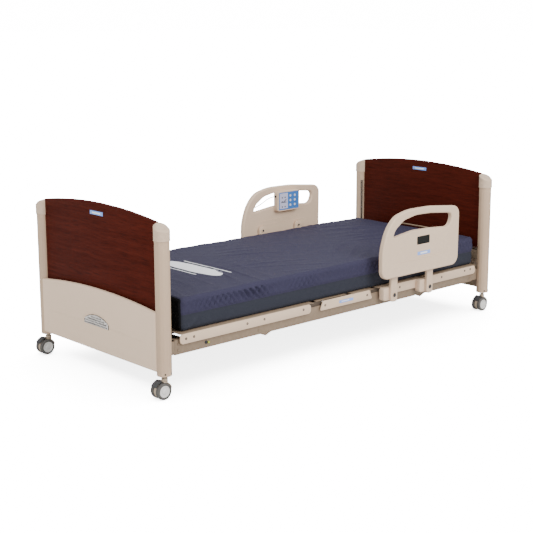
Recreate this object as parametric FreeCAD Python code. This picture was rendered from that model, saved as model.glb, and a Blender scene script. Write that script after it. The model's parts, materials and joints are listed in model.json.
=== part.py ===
import FreeCAD, Part
import math
import os

os.makedirs("parts", exist_ok=True)

# An adjustable long-term-care bed, in millimetres, deck at its lowest and flat.
# Origin: centre of the footprint on the floor. +X to the head, -Y to the patient's left, +Z up.

# ---- end frames -------------------------------------------------------------------------------
post_span_x = 2225.0          # foot posts' centres to head posts' centres
post_span_y = 930.0           # left posts' centres to right posts' centres
post_radius = 33.0
post_wall = 3.5
post_bottom_z = 102.0
post_top_z = 693.0
cap_overhang = 3.0            # the cap's collar stands this far out of the post
cap_inner_rise = 77.0         # cap's top above the post, beside the laminate panel
cap_outer_rise = 45.0         # cap's top above the post, on the outer side
cap_edge_bevel = 9.0

wood_thickness = 20.0
wood_bottom_z = 350.0
wood_side_rise = 75.0         # panel's top above the posts, beside them
wood_crown = 32.0             # how much higher the middle of its top edge is
wood_post_bite = 2.0          # the panel's edge enters the post's groove this far

lower_panel_front = 33.0      # front face, measured out from the posts' centre plane
lower_panel_thickness = 14.0
lower_panel_inset = 15.0      # panel's edges short of the posts' centre lines
lower_panel_bottom_z = 117.0
lower_panel_side_z = 380.0
lower_panel_centre_z = 409.0
lower_panel_post_gap = 0.5
emblem_recess_half_width = 101.0
emblem_recess_z = (228.0, 236.0, 288.0)  # its bottom, its sides' top and its arch's top
emblem_recess_depth = 4.0

crossbeam_depth = 26.0
crossbeam_height = 50.0
crossbeam_levels = (130.0, 285.0)
crossbeam_wall = 3.0

screw_radius = 8.0
screw_bottom_z = 127.0
screw_top_gap = 3.0           # below the post's top
running_gap = 0.06            # radial clearance of every turning or sliding fit
lift_travel = 400.0

# ---- casters ----------------------------------------------------------------------------------
wheel_radius = 37.5
wheel_width = 18.0
hub_radius = 25.0
wheel_spacing = 20.0          # between the twin wheels' inner faces
caster_trail = 20.0
stem_radius = 6.0
axle_radius = 4.0
caster_web_radius = 33.0
caster_web_thickness = 16.0
caster_boss_radius = 14.0
caster_boss_top_z = 90.0
socket_plate_radius = 22.0
socket_depth = 24.0
pedal_inner_radius = 44.0
pedal_thickness = 4.0
pedal_half_width = 17.0
pedal_pin_radius = 3.0
pedal_angles = (98.0, 150.0)  # span of the pedal's arc about the wheel's axle, in degrees

# ---- deck frame -------------------------------------------------------------------------------
frame_end_gap = 72.5          # posts' centre plane to the rails' ends
frame_rail_inset = 19.0       # posts' centre line to the rails' outer faces
frame_rail_width = 34.0
frame_rail_height = 68.0
frame_rail_bottom_z = 170.0
frame_rail_wall = 3.0
crossmember_width = 40.0
crossmember_height = 50.0
crossmember_rise = 10.0       # above the rails' undersides
hinge_rise = 6.0              # hinge axes above the rails' top faces
hinge_radius = 8.0
lug_radius = 14.0
lug_width = 30.0
ear_width = 12.0
deck_tube_height = 22.0
deck_tube_bottom_rise = 2.0   # above the frame rails' top faces
deck_sheet_thickness = 2.0
slot_gap = 3.0                # carriage arm to the post's slot, each side
carriage_arm_width = 8.0
carriage_block_height = 60.0
carriage_block_gap = 1.5
gearmotor_radius = 26.0
gearmotor_length = 105.0

# ---- deck sections, from the head end to the foot end -----------------------------------------
deck_head_overhang = 10.0     # the back section runs past the frame rails
deck_foot_inset = 20.0
back_length = 815.0
seat_length = 185.0
thigh_length = 240.0
sheet_hinge_gap = 15.0        # each sheet stops this far from its hinge
back_angle = 60.0
thigh_angle = 30.0
side_panel_gap = 9.0          # frame rail to side panel
side_panel_thickness = 5.0
side_panel_height = 46.0
side_panel_corner = 18.0
head_panel_setback = 30.0     # side panels' ends from the hinges
middle_panel_setback = (28.0, 26.0)
middle_panel_slant = 20.0
foot_panel_setback = 34.0
lever_length = 75.0
lever_thickness = 8.0
lever_half_width = 15.0
actuator_y = 120.0
actuator_radius = 22.0
rod_radius = 9.0
rod_head_thickness = 10.0
rod_side_gap = 2.0
rod_neck_gap = 5.0            # lever's cheeks to the round part of the rod
motor_size = (110.0, 60.0, 80.0)
back_actuator_setback = 490.0  # its crossmember, from the frame's foot end
knee_actuator_reach = 550.0   # its crossmember, from the thigh hinge
rod_reach_in = 200.0          # length of rod inside its barrel
retainer_half_width = 110.0   # bent rod that keeps the mattress from sliding off the head end
retainer_radius = 4.0
retainer_gap = 1.5            # mattress to rod
retainer_rise = 6.0           # rod's centre line above the mattress's top

# ---- mattress ---------------------------------------------------------------------------------
mattress_side_gap = 10.0
mattress_head_overhang = 5.0
mattress_foot_inset = 15.0
mattress_thickness = 155.0
mattress_rest_gap = 0.5
mattress_fold_clearance = 0.5

# ---- assist rails -----------------------------------------------------------------------------
assist_gap = 50.0             # deck side panel to the rail's inner face
assist_thickness = 30.0
assist_edge_radius = 8.0
assist_arm_gap = 4.0          # rail to arm
assist_arm_thickness = 14.0
assist_arm_width = 46.0
assist_arm_length = 198.0
assist_arm_tail = 34.0        # arm below its lower pivot
assist_pivot_drop = 22.0      # lower pivots below the deck hinges' height
assist_pivot_x = (90.0, 370.0)  # lower pivots, from the back hinge
assist_pin_radius = 6.0
assist_open_gap = 2.0         # radial clearance of the open pivot
bracket_reach = (63.0, 27.0)  # bracket's extent footwards and headwards of its pivot
bracket_bottom_drop = 26.0
window_x = (221.0, 317.0)     # latch window, from the back hinge
window_z = (227.0, 267.0)     # above the deck hinges
window_depth = 16.0
paddle_margin = 4.0
paddle_thickness = 8.0
paddle_rest_gap = 0.4
# Corners of the rail and of its hand opening: x and z from the back hinge, then corner radius
rail_outline = (
    (-39.0, 77.0, 45.0),
    (-41.0, 225.0, 250.0),
    (-2.0, 335.0, 200.0),
    (60.0, 392.0, 120.0),
    (160.0, 415.0, 400.0),
    (330.0, 414.0, 500.0),
    (562.0, 391.0, 48.0),
    (558.0, 77.0, 48.0),
)
opening_outline = (
    (36.0, 282.0, 9.0),
    (56.0, 322.0, 60.0),
    (120.0, 364.0, 90.0),
    (215.0, 381.0, 250.0),
    (330.0, 378.0, 300.0),
    (507.0, 359.0, 26.0),
    (486.0, 289.0, 40.0),
    (325.0, 300.0, 300.0),
    (200.0, 303.0, 300.0),
)

# ---- pendant ----------------------------------------------------------------------------------
pendant_x = (192.0, 365.0)    # from the back hinge
pendant_z = (272.0, 389.0)    # above the deck hinges
pendant_depth = 32.0
pendant_corner = 14.0
key_radius = 7.0
key_gap = 0.4
key_proud = 1.5
key_travel = 1.0
key_pocket = 7.5
key_columns = (292.0, 327.0)  # from the back hinge
key_rows = (304.0, 331.0, 358.0)  # above the deck hinges
cord_radius = 2.5
gland_radius = 5.0
socket_block = (18.0, 22.0, 25.0)
# Route of the lead from the pendant's gland, through the hand opening, to the rail's outer socket:
# x and z from the back hinge, y from the rail's inner face
cord_route = (
    (180.0, -16.0, 360.0),
    (150.0, -15.5, 359.0),
    (120.0, -13.0, 347.0),
    (95.0, -4.0, 328.0),
    (77.0, 15.0, 312.0),
    (68.0, 40.0, 299.0),
    (65.0, 46.0, 274.0),
    (66.5, 44.5, 245.0),
    (69.0, 43.0, 211.0),
)

# ---- small equipment --------------------------------------------------------------------------
iv_socket_outer = 13.0
iv_socket_bore = 9.6
iv_socket_offset = 35.0       # out from the end crossmember
iv_socket_inset = 66.0        # in from the frame rails' outer faces
iv_socket_length = 62.0
control_box_size = (240.0, 170.0, 52.0)
control_box_setback = 210.0   # from the frame's foot end
hook_setbacks = (536.0, 437.0)  # from the frame's foot end and head end
hook_half_width = 35.0
hook_drop = 14.0
hook_thickness = 4.0

# ---- places that follow from the sizes --------------------------------------------------------
post_x = post_span_x / 2
post_y = post_span_y / 2
frame_end_x = post_x - frame_end_gap
rail_outer_y = post_y - frame_rail_inset
rail_inner_y = rail_outer_y - frame_rail_width
rail_top_z = frame_rail_bottom_z + frame_rail_height
hinge_z = rail_top_z + hinge_rise
tube_bottom_z = rail_top_z + deck_tube_bottom_rise
tube_top_z = tube_bottom_z + deck_tube_height
sheet_top_z = tube_top_z + deck_sheet_thickness
panel_inner_y = rail_outer_y + side_panel_gap
panel_outer_y = panel_inner_y + side_panel_thickness
deck_head_x = frame_end_x + deck_head_overhang
deck_foot_x = -(frame_end_x - deck_foot_inset)
back_hinge_x = deck_head_x - back_length
thigh_hinge_x = back_hinge_x - seat_length
knee_x = thigh_hinge_x - thigh_length
lever_tip_z = hinge_z - lever_length
mattress_foot_x = deck_foot_x + mattress_foot_inset
mattress_head_x = deck_head_x + mattress_head_overhang
mattress_top_z = sheet_top_z + mattress_rest_gap + mattress_thickness
crossmember_z = frame_rail_bottom_z + crossmember_rise
assist_inner_y = panel_outer_y + assist_gap
assist_outer_y = assist_inner_y + assist_thickness
arm_outer_y = assist_inner_y - assist_arm_gap
arm_inner_y = arm_outer_y - assist_arm_thickness
lower_pivot_z = hinge_z - assist_pivot_drop
upper_pivot_z = lower_pivot_z + assist_arm_length
cap_inner_z = post_top_z + cap_inner_rise
cap_outer_z = post_top_z + cap_outer_rise
wood_side_z = post_top_z + wood_side_rise
wood_centre_z = wood_side_z + wood_crown
screw_top_z = post_top_z - screw_top_gap
lower_panel_half_width = post_y - lower_panel_inset
back_actuator_base_x = back_actuator_setback - frame_end_x
knee_actuator_base_x = thigh_hinge_x + knee_actuator_reach
iv_socket_y = rail_outer_y - iv_socket_inset
control_box_x = control_box_setback - frame_end_x
hook_places = (hook_setbacks[0] - frame_end_x, frame_end_x - hook_setbacks[1])
cord_points = [(back_hinge_x + x, assist_inner_y + y, hinge_z + z) for x, y, z in cord_route]

ENDS = (("head", 1), ("foot", -1))
SIDES = (("left", -1), ("right", 1))


def save(node, *solids):
    """Write one node's solids to its STEP file."""
    shape = solids[0] if len(solids) == 1 else Part.makeCompound(list(solids))
    shape.exportStep("parts/%s.step" % node)


def box(x, y, z):
    """A block between two bounds on each axis, given in either order."""
    low = FreeCAD.Vector(min(x), min(y), min(z))
    return Part.makeBox(max(x) - low.x, max(y) - low.y, max(z) - low.z, low)


def rod(axis, radius, centre, start, end):
    """A round bar along 'x', 'y' or 'z'; centre holds the other two coordinates in order."""
    low, length = min(start, end), abs(end - start)
    u, v = centre
    places = {"x": (low, u, v), "y": (u, low, v), "z": (u, v, low)}
    directions = {"x": (1, 0, 0), "y": (0, 1, 0), "z": (0, 0, 1)}
    return Part.makeCylinder(
        radius, length, FreeCAD.Vector(*places[axis]), FreeCAD.Vector(*directions[axis])
    )


def hollow(x, y, z, wall, along):
    """A rectangular tube open at both ends of one axis."""
    spans = {"x": list(x), "y": list(y), "z": list(z)}
    inner = {}
    for name, (low, high) in spans.items():
        inset = -wall if name == along else wall
        inner[name] = (min(low, high) + inset, max(low, high) - inset)
    return box(x, y, z).cut(box(inner["x"], inner["y"], inner["z"]))


def rounded_face(corners, y):
    """A face in the plane y, from (x, z, radius) corners joined by straight edges and arcs."""
    points = [FreeCAD.Vector(x, y, z) for x, z, _ in corners]
    count = len(corners)
    ends = []
    for i, (_, _, radius) in enumerate(corners):
        here = points[i]
        back = (points[i - 1] - here).normalize()
        ahead = (points[(i + 1) % count] - here).normalize()
        half = back.getAngle(ahead) / 2
        reach = radius / math.tan(half)
        middle = (back + ahead).normalize() * (radius / math.sin(half) - radius)
        ends.append((here + back * reach, here + middle, here + ahead * reach))
    edges = []
    for i, (start, middle, end) in enumerate(ends):
        if corners[i][2] > 0:
            edges.append(Part.Arc(start, middle, end).toShape())
        edges.append(Part.LineSegment(end, ends[(i + 1) % count][0]).toShape())
    return Part.Face(Part.Wire(edges))


def prism(corners, y_start, y_end):
    """The rounded outline of rounded_face, made solid between two y planes."""
    low = min(y_start, y_end)
    return rounded_face(corners, low).extrude(FreeCAD.Vector(0, abs(y_end - y_start), 0))


def slab(x, y, z, corner):
    """A plate in the xz plane with rounded corners."""
    corners = ((x[0], z[0]), (x[0], z[1]), (x[1], z[1]), (x[1], z[0]))
    return prism([(px, pz, corner) for px, pz in corners], *y)


def arch_plate(half_width, bottom_z, side_z, centre_z, x_start, x_end):
    """An upright plate across the bed whose top edge is one shallow arc."""
    low = min(x_start, x_end)
    corners = [(-half_width, side_z), (-half_width, bottom_z), (half_width, bottom_z), (half_width, side_z)]
    points = [FreeCAD.Vector(low, y, z) for y, z in corners]
    edges = [Part.LineSegment(a, b).toShape() for a, b in zip(points, points[1:])]
    edges.append(Part.Arc(points[3], FreeCAD.Vector(low, 0, centre_z), points[0]).toShape())
    face = Part.Face(Part.Wire(edges))
    return face.extrude(FreeCAD.Vector(abs(x_end - x_start), 0, 0))


def soften(shape, radius, test):
    """Round the edges that a test on their centres picks out."""
    edges = [e for e in shape.Edges if test(e.CenterOfMass)]
    return shape.makeFillet(radius, edges)


# ---- end frames -------------------------------------------------------------------------------
def post(end, side):
    """One post: a tube with a slot on its deck side for the carriage's arm."""
    x, y = end * post_x, side * post_y
    tube = rod("z", post_radius, (x, y), post_bottom_z, post_top_z)
    tube = tube.cut(rod("z", post_radius - post_wall, (x, y), post_bottom_z, post_top_z))
    slot_y = (side * (rail_outer_y + slot_gap), side * (rail_outer_y - carriage_arm_width - slot_gap))
    slot_x = (x, x - end * (post_radius + 1))
    slot_z = (frame_rail_bottom_z - slot_gap, rail_top_z + lift_travel + slot_gap)
    slot = box((x - end * (wood_thickness / 2 + 1), slot_x[1]), slot_y, slot_z)
    groove = box(
        (x - wood_thickness / 2, x + wood_thickness / 2),
        (side * (post_y - post_radius - 1), side * (post_y - post_radius + wood_post_bite)),
        (wood_bottom_z, post_top_z),
    )
    return tube.cut(slot).cut(groove)


def post_cap(end, side):
    """A cap whose top carries on the laminate panel's arch and drops towards the outer side."""
    x, y = end * post_x, side * post_y
    radius = post_radius + cap_overhang
    cap = rod("z", radius, (x, y), post_top_z, cap_inner_z)
    wedge = Part.makePolygon(
        [
            FreeCAD.Vector(x - radius - 1, y - side * (radius + 1), cap_inner_z),
            FreeCAD.Vector(x - radius - 1, y + side * (radius + 1), cap_outer_z),
            FreeCAD.Vector(x - radius - 1, y + side * (radius + 1), cap_inner_z + 1),
            FreeCAD.Vector(x - radius - 1, y - side * (radius + 1), cap_inner_z + 1),
            FreeCAD.Vector(x - radius - 1, y - side * (radius + 1), cap_inner_z),
        ]
    )
    cut = Part.Face(wedge).extrude(FreeCAD.Vector(2 * radius + 2, 0, 0))
    cap = cap.cut(cut)
    cap = cap.makeChamfer(cap_edge_bevel, [e for e in cap.Edges if e.CenterOfMass.z > cap_outer_z - 1])
    seat = box(
        (x - wood_thickness / 2, x + wood_thickness / 2),
        (side * (post_y - radius - 1), side * (post_y - post_radius + wood_post_bite)),
        (post_top_z, cap_inner_z + 1),
    )
    return cap.cut(seat)


def wood_panel(end):
    """Laminate panel between the posts, with its top edge arched."""
    x = end * post_x
    half_width = post_y - post_radius + wood_post_bite
    return arch_plate(
        half_width, wood_bottom_z, wood_side_z, wood_centre_z, x - wood_thickness / 2, x + wood_thickness / 2
    )


def lower_panel(end):
    """Moulded panel that covers the end frame's beams and half of each post's front."""
    front = end * (post_x + lower_panel_front)
    back = front - end * lower_panel_thickness
    half_width = lower_panel_half_width
    panel = arch_plate(
        half_width, lower_panel_bottom_z, lower_panel_side_z, lower_panel_centre_z, back, front
    )
    for _, side in SIDES:
        radius = post_radius + lower_panel_post_gap
        panel = panel.cut(
            rod("z", radius, (end * post_x, side * post_y), lower_panel_bottom_z - 1, lower_panel_centre_z)
        )
    recess = arch_plate(
        emblem_recess_half_width,
        *emblem_recess_z,
        front - end * emblem_recess_depth,
        front + end,
    )
    return panel.cut(recess)


def end_crossbeam(end, level):
    """A tube between the two posts of one end, behind the panels."""
    x = end * post_x
    span = (-post_y, post_y)
    beam = hollow(
        (x - crossbeam_depth / 2, x + crossbeam_depth / 2),
        span,
        (level, level + crossbeam_height),
        crossbeam_wall,
        "y",
    )
    for _, side in SIDES:
        beam = beam.cut(rod("z", post_radius, (x, side * post_y), 0, post_top_z))
    return beam


def lift_screw(end, side):
    return rod("z", screw_radius, (end * post_x, side * post_y), screw_bottom_z, screw_top_z)


def caster_socket(end, side):
    """A plug in the post's foot with a plate under it; the stem turns in its bore."""
    centre = (end * post_x, side * post_y)
    plug = rod("z", post_radius - post_wall, centre, post_bottom_z, post_bottom_z + socket_depth)
    plate = rod("z", socket_plate_radius, centre, post_bottom_z - 4, post_bottom_z)
    bore = rod("z", stem_radius + running_gap, centre, post_bottom_z - 5, post_bottom_z + socket_depth - 2)
    return plug.fuse(plate).cut(bore).removeSplitter()


for end_name, end in ENDS:
    save(end_name + "_posts", *[post(end, side) for _, side in SIDES])
    save(end_name + "_wood_panel", wood_panel(end))
    save(end_name + "_lower_panel", lower_panel(end))
CORNERS = [(end, side) for _, end in ENDS for _, side in SIDES]
save("post_caps", *[post_cap(end, side) for end, side in CORNERS])
save("end_crossbeams", *[end_crossbeam(end, level) for _, end in ENDS for level in crossbeam_levels])
save("lift_screws", *[lift_screw(end, side) for end, side in CORNERS])
save("caster_sockets", *[caster_socket(end, side) for end, side in CORNERS])


# ---- casters, trailing towards the foot ---------------------------------------------------------
def caster_fork(x, y):
    """Housing between the twin wheels, with the stem that turns in the post's socket."""
    wheel_x = x - caster_trail
    half = caster_web_thickness / 2
    web = rod("y", caster_web_radius, (wheel_x, wheel_radius), y - half, y + half)
    boss = rod("z", caster_boss_radius, (x, y), wheel_radius + 12, caster_boss_top_z)
    boss = boss.common(box((x - 50, x + 50), (y - half - 2, y + half + 2), (0, 200)))
    collar = rod("z", caster_boss_radius, (x, y), wheel_radius * 2 + 3, caster_boss_top_z)
    stem = rod("z", stem_radius, (x, y), caster_boss_top_z - 1, post_bottom_z + socket_depth - 3)
    body = web.fuse([boss, collar, stem])
    bore = rod("y", axle_radius + running_gap, (wheel_x, wheel_radius), y - 40, y + 40)
    pin_x, pin_z = pedal_pin_place(x)
    pin_hole = rod("y", pedal_pin_radius + running_gap, (pin_x, pin_z), y - 40, y + 40)
    return body.cut(bore).cut(pin_hole).removeSplitter()


def pedal_pin_place(x):
    """The brake pedal's hinge, near the top of the housing's web."""
    angle = math.radians(pedal_angles[0] + 6)
    reach = caster_web_radius - 2 * pedal_pin_radius
    return x - caster_trail + reach * math.cos(angle), wheel_radius + reach * math.sin(angle)


def caster_wheels(x, y):
    """Twin tyres and hubs on one axle."""
    centre = (x - caster_trail, wheel_radius)
    solids = []
    for side in (-1, 1):
        inner = y + side * wheel_spacing / 2
        outer = inner + side * wheel_width
        tyre = rod("y", wheel_radius, centre, inner, outer)
        tyre = soften(tyre, 3.0, lambda c: True)
        tyre = tyre.cut(rod("y", hub_radius, centre, inner, outer))
        hub = rod("y", hub_radius, centre, inner, outer - side * 2)
        solids += [tyre, hub.cut(rod("y", axle_radius, centre, inner, outer - side * 4))]
    half = wheel_spacing / 2 + wheel_width - 4
    solids.append(rod("y", axle_radius, centre, y - half, y + half))
    return solids


def caster_pedal(x, y):
    """Brake pedal: an arc plate over the wheels, on two cheeks with a pin through the housing."""
    wheel_x = x - caster_trail
    outer = pedal_inner_radius + pedal_thickness
    ring = rod("y", outer, (wheel_x, wheel_radius), y - pedal_half_width, y + pedal_half_width)
    ring = ring.cut(
        rod("y", pedal_inner_radius, (wheel_x, wheel_radius), y - pedal_half_width, y + pedal_half_width)
    )
    first, last = [math.radians(a) for a in pedal_angles]
    far = 3 * outer
    corners = [(wheel_x, wheel_radius, 0)]
    for angle in (first, (first + last) / 2, last):
        corners.append((wheel_x + far * math.cos(angle), wheel_radius + far * math.sin(angle), 0))
    plate = ring.common(prism(corners, y - pedal_half_width, y + pedal_half_width))
    pin_x, pin_z = pedal_pin_place(x)
    half = wheel_spacing / 2 - 0.3
    pin = rod("y", pedal_pin_radius, (pin_x, pin_z), y - half, y + half)
    cheek_half = caster_web_thickness / 2 + 0.3
    cheek_z = (pin_z - pedal_pin_radius, wheel_radius + pedal_inner_radius + 1)
    solids = [plate, pin]
    for side in (-1, 1):
        cheek = box((pin_x - 6, pin_x + 2), (y + side * cheek_half, y + side * half), cheek_z)
        solids.append(cheek)
    return solids[0].fuse(solids[1:]).removeSplitter()


CASTERS = [(e + "_" + s, end * post_x, side * post_y) for e, end in ENDS for s, side in SIDES]
for name, x, y in CASTERS:
    save("caster_fork_" + name, caster_fork(x, y))
    save("caster_wheels_" + name, *caster_wheels(x, y))
    save("caster_pedal_" + name, caster_pedal(x, y))


# ---- deck frame -------------------------------------------------------------------------------
def frame_rail(side):
    return hollow(
        (-frame_end_x, frame_end_x),
        (side * rail_inner_y, side * rail_outer_y),
        (frame_rail_bottom_z, rail_top_z),
        frame_rail_wall,
        "x",
    )


def crossmember(x):
    """A rectangular tube between the frame rails."""
    half = crossmember_width / 2
    return hollow(
        (x - half, x + half),
        (-rail_inner_y, rail_inner_y),
        (crossmember_z, crossmember_z + crossmember_height),
        frame_rail_wall,
        "y",
    )


def hinge_shaft(x):
    """A shaft across the frame, welded at each end to an ear on the frame rail."""
    ear_inner_y = rail_inner_y - ear_width
    solids = [rod("y", hinge_radius, (x, hinge_z), -ear_inner_y, ear_inner_y)]
    for _, side in SIDES:
        solids.append(
            box(
                (x - lug_radius, x + lug_radius),
                (side * rail_inner_y, side * ear_inner_y),
                (frame_rail_bottom_z + 20, hinge_z + lug_radius),
            )
        )
    return solids


def actuator_plate(x, facing, y):
    """A plate on a crossmember that carries an actuator's motor."""
    face = x + facing * crossmember_width / 2
    return box(
        (face, face + facing * 8),
        (y - motor_size[1] / 2, y + motor_size[1] / 2),
        (lever_tip_z - motor_size[2] / 2, crossmember_z + crossmember_height),
    )


def hook_tab(x, side):
    """A V-shaped hook under a frame rail for a drainage bag."""
    outer = side * (rail_outer_y - 2)
    corners = (
        (x - hook_half_width, frame_rail_bottom_z, 0),
        (x, frame_rail_bottom_z - hook_drop, 0),
        (x + hook_half_width, frame_rail_bottom_z, 0),
    )
    return prism(corners, outer, outer - side * hook_thickness)


def lift_carriage(end, side):
    """A block on the post's screw, with an arm through the slot to the frame rail's end."""
    centre = (end * post_x, side * post_y)
    middle = frame_rail_bottom_z + frame_rail_height / 2
    low, high = middle - carriage_block_height / 2, middle + carriage_block_height / 2
    block = rod("z", post_radius - post_wall - carriage_block_gap, centre, low, high)
    arm = box(
        (end * frame_end_x, end * (post_x - 6.5)),
        (side * rail_outer_y, side * (rail_outer_y - carriage_arm_width)),
        (low, high),
    )
    bore = rod("z", screw_radius + running_gap, centre, low, high)
    return block.fuse(arm).cut(bore).removeSplitter()


def lift_gearmotor(end, side):
    """A gearmotor beside the end crossmember; its sealed gears drive the carriage's nut."""
    x = end * (frame_end_x - crossmember_width - gearmotor_radius)
    z = crossmember_z + crossmember_height / 2
    start = side * (rail_inner_y - gearmotor_length)
    body = rod("y", gearmotor_radius, (x, z), start, side * rail_inner_y)
    foot = box(
        (end * (frame_end_x - crossmember_width), x),
        (start + side * 15, start + side * 65),
        (z - 14, z + 14),
    )
    return body.fuse(foot).removeSplitter()


def iv_socket(side):
    """A socket at the head end for an infusion pole."""
    x = frame_end_x + iv_socket_offset
    top = crossmember_z + crossmember_height
    bottom = top - iv_socket_length
    tube = rod("z", iv_socket_outer, (x, side * iv_socket_y), bottom, top)
    bracket = box((frame_end_x, x), (side * iv_socket_y - 9, side * iv_socket_y + 9), (bottom + 15, top - 8))
    bore = rod("z", iv_socket_bore, (x, side * iv_socket_y), bottom, top)
    return tube.fuse(bracket).cut(bore).removeSplitter()


def side_panel(x_start, x_end, side, slant=0.0):
    """A strip along the deck's edge; a slant makes its lower edge longer than its upper edge."""
    top, bottom = tube_top_z, tube_top_z - side_panel_height
    radius = side_panel_corner / 3 if slant else side_panel_corner
    corners = (
        (x_start, bottom, radius),
        (x_start + slant, top, radius),
        (x_end - slant, top, radius),
        (x_end, bottom, radius),
    )
    return prism(corners, side * panel_inner_y, side * panel_outer_y)


def seat_deck():
    """The fixed seat sheet, on a bearer over each frame rail."""
    x = (thigh_hinge_x + sheet_hinge_gap, back_hinge_x - sheet_hinge_gap)
    sheet = box(x, (-panel_outer_y, panel_outer_y), (tube_top_z, sheet_top_z))
    bearers = []
    for _, side in SIDES:
        bearers.append(
            box((x[0] + 5, x[1] - 5), (side * rail_inner_y, side * rail_outer_y), (rail_top_z, tube_top_z))
        )
    return sheet.fuse(bearers).removeSplitter()


def middle_side_panel(side):
    """The fixed strip beside the seat and thigh, stood off the frame rail."""
    start, end = knee_x + middle_panel_setback[0], back_hinge_x - middle_panel_setback[1]
    panel = side_panel(start, end, side, middle_panel_slant)
    z = tube_top_z - side_panel_height * 0.75
    spacers = []
    for x in (start + 60, end - 60):
        spacers.append(rod("y", 6, (x, z), side * rail_outer_y, side * panel_inner_y))
    return panel.fuse(spacers).removeSplitter()


def actuator(base_x, facing, y, pivot_x):
    """A linear actuator: motor housing on its crossmember, and a barrel with the rod's bore."""
    start = base_x + facing * (crossmember_width / 2 + 8)
    length, width, height = motor_size
    motor_end = start + facing * length
    motor = slab(
        sorted((start, motor_end)),
        (y - width / 2, y + width / 2),
        (lever_tip_z - height / 2, lever_tip_z + height / 2 - 20),
        8.0,
    )
    barrel_end = pivot_x - facing * (lever_half_width + 110)
    barrel = rod("x", actuator_radius, (y, lever_tip_z), motor_end - facing * 2, barrel_end)
    bore = rod("x", rod_radius + running_gap, (y, lever_tip_z), motor_end + facing * 5, barrel_end)
    return motor.fuse(barrel).cut(bore).removeSplitter()


def actuator_rod(facing, y, pivot_x):
    """The actuator's rod and its flat head, which lies between the lever's two cheeks."""
    neck = pivot_x - facing * (lever_half_width + rod_neck_gap)
    bar = rod("x", rod_radius, (y, lever_tip_z), neck, neck - facing * rod_reach_in)
    half = rod_head_thickness / 2
    head_x = (neck, pivot_x + facing * lever_half_width)
    head = box(head_x, (y - half, y + half), (lever_tip_z - 14, lever_tip_z + 14))
    return bar.fuse(head).removeSplitter()


end_x = frame_end_x - crossmember_width / 2
member_places = (-end_x, back_actuator_base_x, knee_actuator_base_x, end_x)
save("frame_rails", *[frame_rail(side) for _, side in SIDES])
save(
    "frame_crossmembers",
    *[crossmember(x) for x in member_places],
    *hinge_shaft(back_hinge_x),
    *hinge_shaft(thigh_hinge_x),
    actuator_plate(back_actuator_base_x, 1, actuator_y),
    actuator_plate(knee_actuator_base_x, -1, -actuator_y),
    *[hook_tab(x, side) for x in hook_places for _, side in SIDES],
)
save("lift_carriages", *[lift_carriage(end, side) for end, side in CORNERS])
save("lift_gearmotors", *[lift_gearmotor(end, side) for end, side in CORNERS])
save("iv_sockets", *[iv_socket(side) for _, side in SIDES])
save("seat_deck", seat_deck())
save("middle_side_panels", *[middle_side_panel(side) for _, side in SIDES])
save(
    "actuators",
    actuator(back_actuator_base_x, 1, actuator_y, back_hinge_x),
    actuator(knee_actuator_base_x, -1, -actuator_y, thigh_hinge_x),
)
save("back_actuator_rod", actuator_rod(1, actuator_y, back_hinge_x))
save("knee_actuator_rod", actuator_rod(-1, -actuator_y, thigh_hinge_x))


def control_box():
    """The control box hung between the rails, with its mains inlet and a plate that carries it."""
    length, width, height = control_box_size
    top = crossmember_z + crossmember_height - 8
    case = slab(
        (control_box_x, control_box_x + length), (-width / 2, width / 2), (top - height, top), 6.0
    )
    inlet = box((control_box_x - 14, control_box_x), (-16, 16), (top - 34, top - 12))
    pins = box((control_box_x - 15, control_box_x - 5), (-11, 11), (top - 29, top - 17))
    carrier = box(
        (control_box_x + 40, control_box_x + 80), (-rail_inner_y, rail_inner_y), (top, top + 6)
    )
    return case, inlet.cut(pins), carrier


save("control_box", *control_box())


# ---- moving deck sections ---------------------------------------------------------------------
def deck_tube(x_hinge, x_end, y, hinges):
    """A tube along the deck with a bored lug at each hinge."""
    half = lug_width / 2
    tube = hollow(
        sorted((x_hinge, x_end)), (y - half, y + half), (tube_bottom_z, tube_top_z), 2.0, "x"
    )
    tube = tube.fuse([rod("y", lug_radius, (x, hinge_z), y - half, y + half) for x in hinges])
    for x in hinges:
        tube = tube.cut(rod("y", hinge_radius + running_gap, (x, hinge_z), y - half, y + half))
    return tube.removeSplitter()


def lever(x_hinge, facing, y):
    """Two cheeks under a deck section, one each side of the actuator rod's head."""
    cheeks = []
    near = rod_head_thickness / 2 + rod_side_gap
    w = lever_half_width
    corners = [
        (x_hinge - facing * w, lever_tip_z - w, 0),
        (x_hinge - facing * w, tube_top_z - 6, 0),
        (x_hinge + facing * w, tube_top_z, 0),
        (x_hinge + facing * 105, tube_top_z, 0),
        (x_hinge + facing * 105, tube_top_z - 18, 0),
        (x_hinge + facing * w, hinge_z - 22, 0),
        (x_hinge + facing * w, lever_tip_z - w, 0),
    ]
    for side in (-1, 1):
        start = y + side * near
        cheek = prism(corners, start, start + side * lever_thickness)
        cheek = cheek.cut(rod("y", hinge_radius + running_gap, (x_hinge, hinge_z), y - 40, y + 40))
        cheeks.append(cheek)
    return cheeks


def deck_section(x_start, x_end, half_width, parts):
    """One deck section: its sheet welded to tubes and levers."""
    sheet = box((x_start, x_end), (-half_width, half_width), (tube_top_z, sheet_top_z))
    return sheet.fuse(parts).removeSplitter()


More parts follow.
